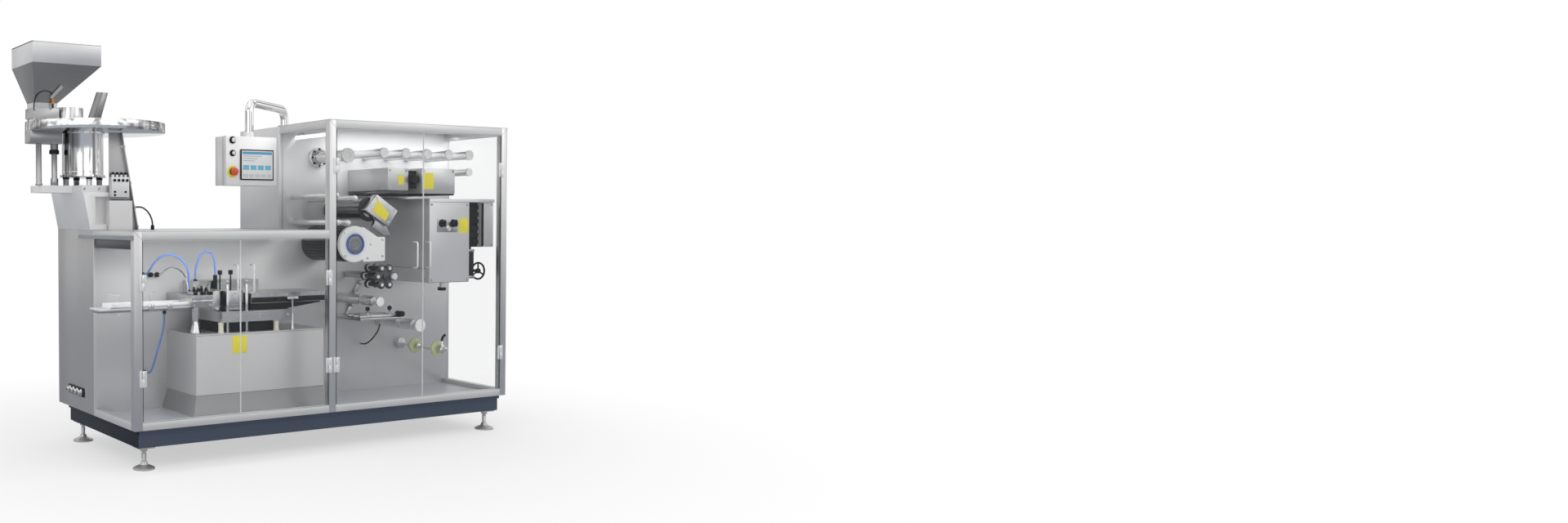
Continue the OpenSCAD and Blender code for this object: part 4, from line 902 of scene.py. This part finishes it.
class PACKER_OT_cabinet_controls(bpy.types.Operator):
    """Fit the switches, lamp, seams and side box of the control cabinet"""
    bl_idname = "packer.cabinet_controls"
    bl_label = "Cabinet controls"

    def execute(self, context):
        switches = [(lathe((x, 86.8, 1272), FRONT, [(24, 0), (24, 3), (20, 5)]), knob(x, 82, 1272, 19, 22),
                     box((x - 4, x + 4), (50, 62), (1252, 1292), 2)) for x in (2042, 2129)]
        make("cabinet_switches", BLACK, *switches[0], *switches[1])
        make("lamp_collar", BRIGHT, lathe((2088, 86.8, 1240), FRONT, [(17, 0), (17, 8), (13, 10), (13, 6)]))
        make("lamp_lens", CREAM,
             lathe((2088, 82, 1240), FRONT, [(12, 0), (12, 8), (9, 13), (5, 15), (0, 15.5)]))
        make("cabinet_door_seams", RUBBER, box((1951, 2251), (86.4, 88.2), (1398.5, 1399.8), 0.3),
             box((1950, 2252), (86.6, 88.2), (917, 918.6), 0.3),
             box((1947.2, 1949.2), (120, 545), (1000, 1002), 0.4))
        make("cabinet_side_box", BLACK, box((2253.4, 2326), (128, 300), (948, 1096), 3),
             box((2358, 2376), (96.6, 99), (1130, 1396), 1))
        make("cabinet_side_brackets", MACHINED,
             *(box((2253.4, 2328), (124, 304), z, 2) for z in ((932, 948.4), (1095.6, 1112))))
        return {"FINISHED"}


class PACKER_OT_pendant(bpy.types.Operator):
    """Fit the pendant's screen, buttons and stop button"""
    bl_idname = "packer.pendant"
    bl_label = "Operator pendant"

    def execute(self, context):
        left, right, low, high, y = 752, 958, 1518, 1682, 245
        parts = {
            ("screen_bezel", BLACK): [box((left - 3, right + 3), (y - 3, y + 3), (low - 3, high + 3), 1.5)],
            ("screen_face", "screen face"): [
                box((left + 4, right - 4), (y - 3.6, y - 1), (low + 4, high - 4), 0.5)],
        }
        blocks = {
            "screen_header": [(8, 198, 140, 155)],
            "screen_tiles": [(12 + 47 * i, 50 + 47 * i, 54, 80) for i in range(4)],
            "screen_rows": [(12, 130 - 22 * i, 128 - 13 * i, 133 - 13 * i) for i in range(3)],
            "screen_keys": [(12 + 38 * i, 42 + 38 * i, 12, 30) for i in range(5)],
        }
        for name, tiles in blocks.items():
            parts[name, name.replace("_", " ")] = [
                box((left + x0, left + x1), (y - 3.9, y - 3.2), (low + z0, low + z1), 0.2, 1)
                for x0, x1, z0, z1 in tiles]
        x, face = 702, 250
        parts |= {
            ("button_collars", BLACK): [
                lathe((x, face, 1735), FRONT, [(20, 0), (20, 4), (17, 7), (14, 8), (14, 15)]),
                lathe((x, face, 1663), FRONT, [(18, 0), (18, 4), (15, 8), (12, 8), (12, 14.4)])],
            ("button_caps", "pale button"): [
                lathe((x, face - 14, 1735), FRONT, [(13, 0), (13, 4), (10, 7), (5, 8.4), (0, 8.8)]),
                lathe((x, face - 14, 1663), FRONT, [(10, 0), (10, 3), (8, 4)])],
            ("stop_plate", YELLOW): [lathe((x, face, 1560), FRONT, [(33, 0), (33, 3), (30, 5)], 36)],
            ("stop_button", "red stop button"): [
                lathe((x, face - 5, 1560), FRONT, [(13, 0), (13, 12), (21, 14), (22.5, 18), (22.5, 24),
                                                   (20, 29), (12, 31.5), (0, 32.4)], 36)],
            ("pendant_seams", RUBBER): [
                box(edge, (285, 286.2), (1488, 1754), 0.3, 1) for edge in ((659.8, 661.4), (983.6, 984.8))],
        }
        for (name, look), forms in parts.items():
            make(name, look, *forms, body="pendant")
        own = [((x0, 378, z0), BACK) for x0 in (684, 962) for z0 in (1505, 1737)]
        screws(own, "pendant_screws", "pendant")
        return {"FINISHED"}


class PACKER_OT_press_details(bpy.types.Operator):
    """Fit the small parts of the press, cutting head and chute"""
    bl_idname = "packer.press_details"
    bl_label = "Press details"

    def execute(self, context):
        bush = [(17, 0.5), (17, 8), (14.5, 11), (14.5, 48), (16, 50), (16, 58)]
        make("cream_bushes", CREAM, *(lathe((x, 196, 672), UP, bush) for x in (600, 950)))
        stands = ((468, 262, 9, 26), (492, 258, 13, 20), (516, 266, 9, 30), (540, 258, 11, 22))
        fitting = [(10, 0), (10, 8), (14, 10), (14, 22), (11, 25)]
        make("black_press_parts", BLACK,
             *(lathe((x, y, 901), UP, [(r, 0), (r, h * 0.5), (r * 0.7, h * 0.55), (r * 0.7, h)], 20)
               for x, y, r, h in stands),
             *(box((x - 12, x + 12), (212, 222), (884, 902), 2) for x in (455, 505, 548)),
             box((955, 985), (206, 216), (845, 858), 2), box((620, 634), (216, 240), (880, 902), 2),
             *(lathe(deep(p, 550), FRONT, fitting, 20) for p in ((332, 986), (372, 985))),
             box((802, 1288), (212.8, 215.4), (830, 860), 0.8))
        holes = [((656 + 9.6 * i, 214.6, z), FRONT) for i in range(10) for z in (806, 815)]
        studs(holes, "die_perforations", 0.0022, 0.0008, RUBBER)
        foot = [(15, 0.4), (15, 6), (12, 9), (8.3, 10), (8.3, 10.5)]
        nut = [(12.5, 0), (13, 1), (13, 13), (11, 15)]
        cylinder = [(19.5, 0), (20, 2), (20, 40), (22, 42), (22, 50), (20, 52), (20, 78)]
        make("bright_press_parts", BRIGHT, *(lathe((x, 195, 672), UP, foot) for x in (640, 760)),
             *(lathe((x, 195, 940), UP, nut, 6) for x in (640, 760)),
             *(box((x, x + 30), (236, 242), (812, 846), 1.5) for x in (300, 190)),
             box((437, 558), (217, 220.6), (848, 856), 1), lathe((486, 280, 738), UP, cylinder),
             tube([(258, 378, 850), (258, 378, 884), (262, 372, 894), (275, 360, 898)], 4),
             tube([(372, 526, 985), (372, 500, 987), (374, 476, 996), (380, 452, 1012), (392, 428, 1026),
                   (410, 404, 1030), (430, 380, 1020), (448, 356, 998), (458, 338, 966), (462, 328, 930),
                   (463, 325, 884)], 4, 10))
        make("chute_stiffeners", SHADED, box((-86, 434), (262, 364), (804, 817.8), 2),
             box((-30, 430), (238.2, 240.2), (829, 833), 0.6))
        make("press_panel_seams", RUBBER,
             *(box((440, 1258), (179, 180.4), z, 0.3, 1) for z in ((664, 665.4), (340, 341.2))))
        return {"FINISHED"}


class PACKER_OT_web_details(bpy.types.Operator):
    """Fit the caps, sleeves, arms and lamp of the web bay, and black strips of painted shadow under the print
    boxes
    """
    bl_idname = "packer.web_details"
    bl_label = "Web bay details"

    def execute(self, context):
        spokes = ring(STAR, 56, 6)
        make("star_roller_caps", CAP, lathe(deep(spokes[0], 136), FRONT, [(19, -5), (19, 12), (17, 14)], 24),
             *(lathe(deep(p, 136), FRONT, [(11, -5), (11, 1), (9, 3)], 24) for p in spokes[1:]), body="star")
        cap = [(30, 0), (30, 2), (27, 4), (9, 4), (8, 1.5)]
        make("roller_end_caps", ENAMEL,
             lathe((1619, 128, 813), FRONT, [(28, 0), (28, 2), (25, 4), (12, 4), (10, 1.5)], 32),
             lathe((1914, 128, 660), FRONT, [(38, 0), (38, 2), (35, 5), (14, 5), (12, 2)], 36),
             *(lathe((1640 + 160 * i, 120, 1687), FRONT, cap, 32) for i in range(5)),
             lathe((2251, 88, 1582), FRONT, [(24, 0), (24, 2), (21, 4), (8, 4), (7, 1.5)], 32))
        make("flange_cap", ENAMEL,
             lathe(deep(FLANGE, 210), FRONT, [(44, 0), (44, 3), (41, 6), (16, 6), (14, 2)], 36))
        flange = [(35, 0), (59.6, 0), (59.6, 5), (57, 8), (40, 8), (35, 6)]
        make("wall_flange", BRIGHT, lathe(deep(FLANGE, 528.4), FRONT, flange, 48, True))
        studs([(deep(p, 521), FRONT) for p in ring(FLANGE, 49, 8)], "flange_bolts", 0.007, 0.005, BLACK)
        make("heated_roller_end", "buff roller end",
             lathe(deep(HEATED, 156), FRONT, [(46, 0), (46, 1.4)], 36))
        make("bearing_inside", "shaded bearing steel",
             lathe((1440, 131, 1153), FRONT, [(45, 0), (47, 1), (47, 4), (30, 4.5), (26, 2)], 40))
        make("roller_sleeves", ROLLER,
             *(lathe((x, back, z), FRONT, [(r + 0.2, 0), (r + 9, 0), (r + 10, 3), (r + 10, length - 3),
                                           (r + 9, length), (r + 0.2, length)], 32, True)
               for x, z, r in ((1619, 813, 20), (1914, 660, 24))
               for back, length in ((300, 120), (545, 215))))
        make("heated_roller_sleeve", "grey roller coat",
             lathe(deep(HEATED, 548), FRONT, [(62.2, 0), (64.5, 1), (64.5, 377), (62.2, 378)], 64, True))
        collar = [(13.2, 0), (19, 0), (19, 5), (17, 7), (13.2, 7)]
        make("star_rear_collars", CAP,
             *(lathe(deep(p, 268), FRONT, collar, 24, True) for p in spokes), body="star")
        ball = [(0, -14), (7, -13), (12, -8.5), (14, -2), (13.4, 4), (10, 10), (5, 13), (0, 13.8)]
        make("black_web_knobs", BLACK, *(lathe((x, 200, 768), UP, ball, 24) for x in (1580, 1740)),
             lathe((1806, 176, 731), FRONT, [(16, -40), (17, -38), (17, 18), (13, 22)], 24),
             box((1794, 1818), (176, 216), (714, 724), 2),
             lathe((2101, 158, 881), DOWN, [(25, -2), (26, 2), (26, 14), (22, 18)], 24))
        make("wall_arms", MACHINED,
             slab([(1748, 912), (1770, 900), (1733, 834), (1711, 846)], (536, 549.5), 1.5),
             slab([(1687, 776), (1709, 764), (1667, 684), (1645, 696)], (536, 549.5), 1.5),
             *(lathe(deep(p, 537), FRONT, [(15, 0), (15, 16), (12, 19)], 24)
               for p in ((1759, 906), (1722, 840), (1698, 770), (1656, 690))),
             box((1640, 2428), (541, 550.4), (1424, 1431), 1.5))
        # Black strips under the print boxes stand for painted shadow
        make("print_rails", BLACK, box((1676, 1822), (134, 540), (1440, 1450), 1.5),
             box((1893, 2137), (92, 540), (1440, 1450), 1.5))
        make("bay_lamp_tube", "lamp tube", lathe(
            (1290, 530, 1784), FRONT, [(13, 0), (13, 4), (11, 5), (11, 395), (13, 396), (13, 400)], 24))
        make("bay_lamp_clips", "ground pale steel",
             *(box((1277, 1303), (y - 9, y + 9), (1796, 1806), 1.5) for y in (190, 470)),
             *(box((1282, 1298), (y - 7, y + 7), (1805, 1850.5), 1.5) for y in (190, 470)))
        return {"FINISHED"}


class PACKER_OT_reel_details(bpy.types.Operator):
    """Fit the nut, collars and clamp lever of the reel shaft"""
    bl_idname = "packer.reel_details"
    bl_label = "Reel details"

    def execute(self, context):
        nut = [(24, 0), (24, 8), (20, 12), (17, 12), (17, 22), (12, 25)]
        collar = [(14.2, 0), (20, 0), (21, 2), (21, 14), (20, 16), (14.2, 16)]
        make("reel_nut_and_collars", BRIGHT, lathe(deep(REEL, 100), FRONT, nut, 6),
             *(lathe(deep(REEL, y), FRONT, collar, 28, True) for y in (204, 348)), body="reel")
        lever = [(2068, 113, 560), (2069, 113, 572), (2076, 112, 584), (2090, 110, 598)]
        make("reel_clamp_lever", BLACK, tube(lever, 8, 16), body="reel")
        return {"FINISHED"}


class PACKER_OT_feeder_details(bpy.types.Operator):
    """Fit the sight tube, sensor, valves, rings and rim beads of the feeder"""
    bl_idname = "packer.feeder_details"
    bl_label = "Feeder details"

    def execute(self, context):
        make("sight_tube", "smoked sight tube",
             tube([(-170, 742, 1964), (-164, 740, 1972), (-124, 710, 2022), (-118, 706, 2030)], 10, 20))
        make("feeder_sensor", "orange sensor",
             lathe((-158, 752, 1934), UP, [(7, 0), (7, 16), (9, 18), (9, 30), (6, 34)], 20))
        valves = range(125, 201, 25)
        make("black_feeder_parts", BLACK, lathe((-158, 752, 1912), UP, [(6, 0), (6, 22)], 16),
             tube([(-158, 748, 1966), (-161, 744, 1980), (-172, 738, 1994), (-192, 734, 2002),
                   (-216, 734, 2002), (-238, 738, 1992), (-254, 744, 1974), (-262, 750, 1950),
                   (-264, 756, 1922), (-262, 762, 1900), (-252, 766, 1890)], 3, 10),
             *(lathe((x, 576, 1544), UP, [(9, 0), (9, 6), (6.5, 8), (6.5, 14)], 16) for x in valves),
             *(lathe((x + 2, 556, 1512), FRONT, [(8, 0), (8, 5), (6, 7)], 16) for x in valves),
             *(lathe(deep(p, 556), FRONT, [(6, 0), (6, 5)], 12)
               for p in ((128, 1448), (192, 1448), (128, 1430))),
             box((106, 232), (566, 568.4), (1404, 1407), 0.5),
             *(lathe((*p, 1520), UP, [(18.5, 0), (18.5, 10.4)], 20) for p in ring(DRUM, 100, 4)),
             lathe((-132, 806, 1660), UP, [(26, 0), (28, 3), (28, 20), (24, 24)], 24),
             *(lathe((278 - (z - LOW_ROOF) * 96 / 541, 586, z), RIGHT, [(6, 0), (6, 5), (4, 7)], 12)
               for z in (1256, 1500, 1700)))
        make("feeder_bright_rings", BRIGHT,
             lathe((*DRUM, 1775), UP, [(116.2, 0), (119, 1), (119, 8), (116.2, 9)], 64, True),
             lathe((*DRUM, 1560), UP, [(116.2, 0), (117.2, 0.4), (117.2, 4), (116.2, 4.4)], 64, True))
        bead = [(389, 0), (394.6, 0), (394.9, 1.5), (394.9, 3), (394, 4), (389.6, 4), (388.6, 3),
                (388.6, 1.5)]
        make("bowl_rim_bead", "polished bowl", lathe((*BOWL, 1835.5), UP, bead, 96, True))
        sides = (((-305, 90), (650, 656)), ((-305, 90), (1009, 1015)), ((-305, -299), (650, 1015)),
                 ((84, 90), (650, 1015)))
        make("hopper_rim_bead", "hopper sheet", *(box(x, y, (2253, 2259.8), 1.2) for x, y in sides))
        return {"FINISHED"}


class PACKER_OT_side_and_rear(bpy.types.Operator):
    """Finish the left end, the back and the feet"""
    bl_idname = "packer.side_and_rear"
    bl_label = "Side and rear details"

    def execute(self, context):
        make("air_inlet_plate", BLACK, box((-6, 0), (700, 945), (296, 346), 2))
        inlet = [(19, 0), (19, 6), (15, 9), (15, 18), (11, 21), (11, 26), (7, 26), (7, 12)]
        make("air_inlet_fittings", BRIGHT,
             *(lathe((-6, 735 + 58 * i, 321), LEFT, inlet, 24) for i in range(4)))
        locks = [((x + REAR_STEP * i, REAR_FACE, 700), BACK) for i in range(3) for x in (40, 805)]
        locks += [((x, TALL_REAR_FACE, 1545), BACK) for x in (1250, 2408)]
        studs(locks, "panel_locks", 0.014, 0.007, BLACK)
        for i in range(3):
            vent(f"rear_vent_{i}", (300 + REAR_STEP * i, 550 + REAR_STEP * i), (1123.4, 1127.5),
                 (900, 908), 10)
        vent("tall_vent", (1660, 1990), (1043.4, 1047.5), (1640, 1648), 6)
        thread = [step for k in range(12) for step in ((12.6, 3 * k + 1.5), (11.2, 3 * k + 3))]
        thread = [(11.2, 0), *thread, (11, 36)]
        make("foot_threads", BRIGHT,
             *(lathe((x, y, 46), UP, thread, 20, True) for x in (91, 2384) for y in (91, 965)))
        make("rear_glands", BLACK,
             lathe((600, REAR_FACE, 420), BACK, [(30, 0), (30, 8), (22, 10), (22, 26), (16, 28), (16, 34)]),
             lathe((700, REAR_FACE, 420), BACK, [(24, 0), (24, 8), (17, 10), (17, 24)]))
        mitres = ((0, 45, 1235), (1180, 45, 1850), (2475, -45, 1850))
        make("frame_seams", RUBBER, *(box(x, (561.6, 562.6), (top - 0.4, top + 0.5), 0.2, 1)
                                      for x, top in (((1, 1178), LOW_ROOF), ((1181, 2473), TALL_ROOF))),
             *(slab([(x, z - 0.8), (x, z), (x + across * 0.018, z), (x + across, z - 44.2),
                     (x + across, z - 45), (x + across * 0.982, z - 45)], (-0.35, 0.4), 0)
               for x, across, z in mitres))
        return {"FINISHED"}


def lamp(name, place, aim, size, power):
    light = linked(name, bpy.data.lights.new(name, "AREA"))
    light.data.shape = "RECTANGLE"
    light.data.size, light.data.size_y = size
    light.data.energy = power
    light.location = place
    light.rotation_euler = (Vector(aim) - Vector(place)).to_track_quat("-Z", "Y").to_euler()
    return light


class PACKER_OT_stage(bpy.types.Operator):
    """Set the pale floor, the soft lights and the white surroundings"""
    bl_idname = "packer.stage"
    bl_label = "Stage"

    def execute(self, context):
        stage = context.scene.packer_stage
        bpy.ops.mesh.primitive_plane_add(size=60, location=(0, 0, 0))
        floor = context.object
        floor.name = "floor"
        # The floor fades to plain white far from the machine and is darker where metal mirrors it
        material, tree, shader = material_of("pale floor")
        fill(tree, shader, {
            "Base Color": (*stage.floor_tone, 1), "Roughness": 0.9, "Specular IOR Level": 0.1})
        away = vectors(tree, "LENGTH", add(tree, "ShaderNodeTexCoord")["Object"])
        fade = ranged(tree, away, (1.2, 3.4), (0.55, 1.0), "SMOOTHSTEP")
        rays = add(tree, "ShaderNodeLightPath")
        plain = add(tree, "ShaderNodeEmission", {"Color": WHITE})[0]
        dim = add(tree, "ShaderNodeEmission", {"Color": (*stage.floor_sheen, 1)})[0]
        far = mixed(tree, maths(tree, "MULTIPLY", fade, rays["Is Camera Ray"]), shader.outputs[0], plain)
        fill(tree, tree.nodes["Material Output"], {"Surface": mixed(tree, rays["Is Glossy Ray"], far, dim)})
        floor.data.materials.append(material)

        lamp("key light", (3.4, -4.2, 4.2), (0.2, 0.0, 1.0), (3.0, 2.4), stage.key_power)
        lamp("fill light", (-4.0, -3.4, 3.0), (-0.4, 0.0, 1.0), (2.5, 2.5), stage.fill_power)
        lamp("top light", (0.0, 0.2, 5.2), (0.0, 0.0, 0.0), (4.0, 3.0), stage.key_power * 0.7)
        for name, place, share in (("tall bay light", at(1930, 330, 1790), 0.8),
                                   ("low bay light", at(610, 200, 1180), 0.62)):
            light = lamp(name, place, place - Vector((0, -0.3, 1)), (1.0, 0.25), stage.bay_power * share)
            light.visible_camera = False
            light.visible_glossy = False

        # Even light all round, plain white behind the machine, and patches for metal to mirror
        world = bpy.data.worlds.new("surroundings")
        context.scene.world = world
        world.use_nodes = True
        tree = world.node_tree
        tree.nodes.clear()
        place = add(tree, "ShaderNodeTexCoord")["Generated"]
        sky = maths(tree, "MULTIPLY", add(tree, "ShaderNodeSeparateXYZ", {0: place})["Z"], 0.2, clamp=True)
        toward = vectors(tree, "DOT_PRODUCT", place, (0.62, -0.78, 0.0))
        side = maths(tree, "MULTIPLY_ADD", toward, 0.08, 1.02)
        blots = noise(tree, vectors(tree, "MULTIPLY", place, (1.0, 1.0, 0.4)), 4.2, 1.0)
        patches = ranged(tree, blots, (0.40, 0.54), (0.30, 1.12))
        even = add(tree, "ShaderNodeBackground", {"Color": WHITE, "Strength": stage.world_level})[0]
        white = add(tree, "ShaderNodeBackground", {"Color": WHITE})[0]
        mirrored = maths(tree, "MULTIPLY", maths(tree, "ADD", sky, side), patches)
        seen = add(tree, "ShaderNodeBackground", {"Color": mirrored})[0]
        rays = add(tree, "ShaderNodeLightPath")
        gloss = maths(tree, "MAXIMUM", rays["Is Glossy Ray"], rays["Is Transmission Ray"])
        shown = mixed(tree, rays["Is Camera Ray"], mixed(tree, gloss, even, seen), white)
        fill(tree, tree.nodes.new("ShaderNodeOutputWorld"), {"Surface": shown})
        return {"FINISHED"}


STEPS = (PACKER_OT_camera, PACKER_OT_hoses, PACKER_OT_solids, PACKER_OT_pane_edges, PACKER_OT_fasteners,
         PACKER_OT_plates, PACKER_OT_cabinet_controls, PACKER_OT_pendant, PACKER_OT_press_details,
         PACKER_OT_web_details, PACKER_OT_reel_details, PACKER_OT_feeder_details, PACKER_OT_side_and_rear,
         PACKER_OT_stage)


class PACKER_PT_panel(bpy.types.Panel):
    """Lists the machine's settings and steps"""
    bl_idname = "PACKER_PT_panel"
    bl_label = "Packing machine"
    bl_space_type = "VIEW_3D"
    bl_region_type = "UI"
    bl_category = "Packer"

    def draw(self, context):
        for group in (context.scene.packer_finish, context.scene.packer_stage):
            for name in group.bl_rna.properties.keys():
                if name not in ("rna_type", "name"):
                    self.layout.prop(group, name)
        for step in STEPS:
            self.layout.operator(step.bl_idname)


CLASSES = (PackerFinish, PackerStage, *STEPS, PACKER_PT_panel)


def register():
    for cls in CLASSES:
        bpy.utils.register_class(cls)
    bpy.types.Scene.packer_finish = PointerProperty(type=PackerFinish)
    bpy.types.Scene.packer_stage = PointerProperty(type=PackerStage)


def unregister():
    del bpy.types.Scene.packer_stage
    del bpy.types.Scene.packer_finish
    for cls in reversed(CLASSES):
        bpy.utils.unregister_class(cls)


def main():
    register()
    grain_group()
    speckle_group()
    reflection_streak_group()
    shade_step_group()
    for step in STEPS:
        space, name = step.bl_idname.split(".")
        getattr(getattr(bpy.ops, space), name)()


if __name__ == "__main__":
    main()
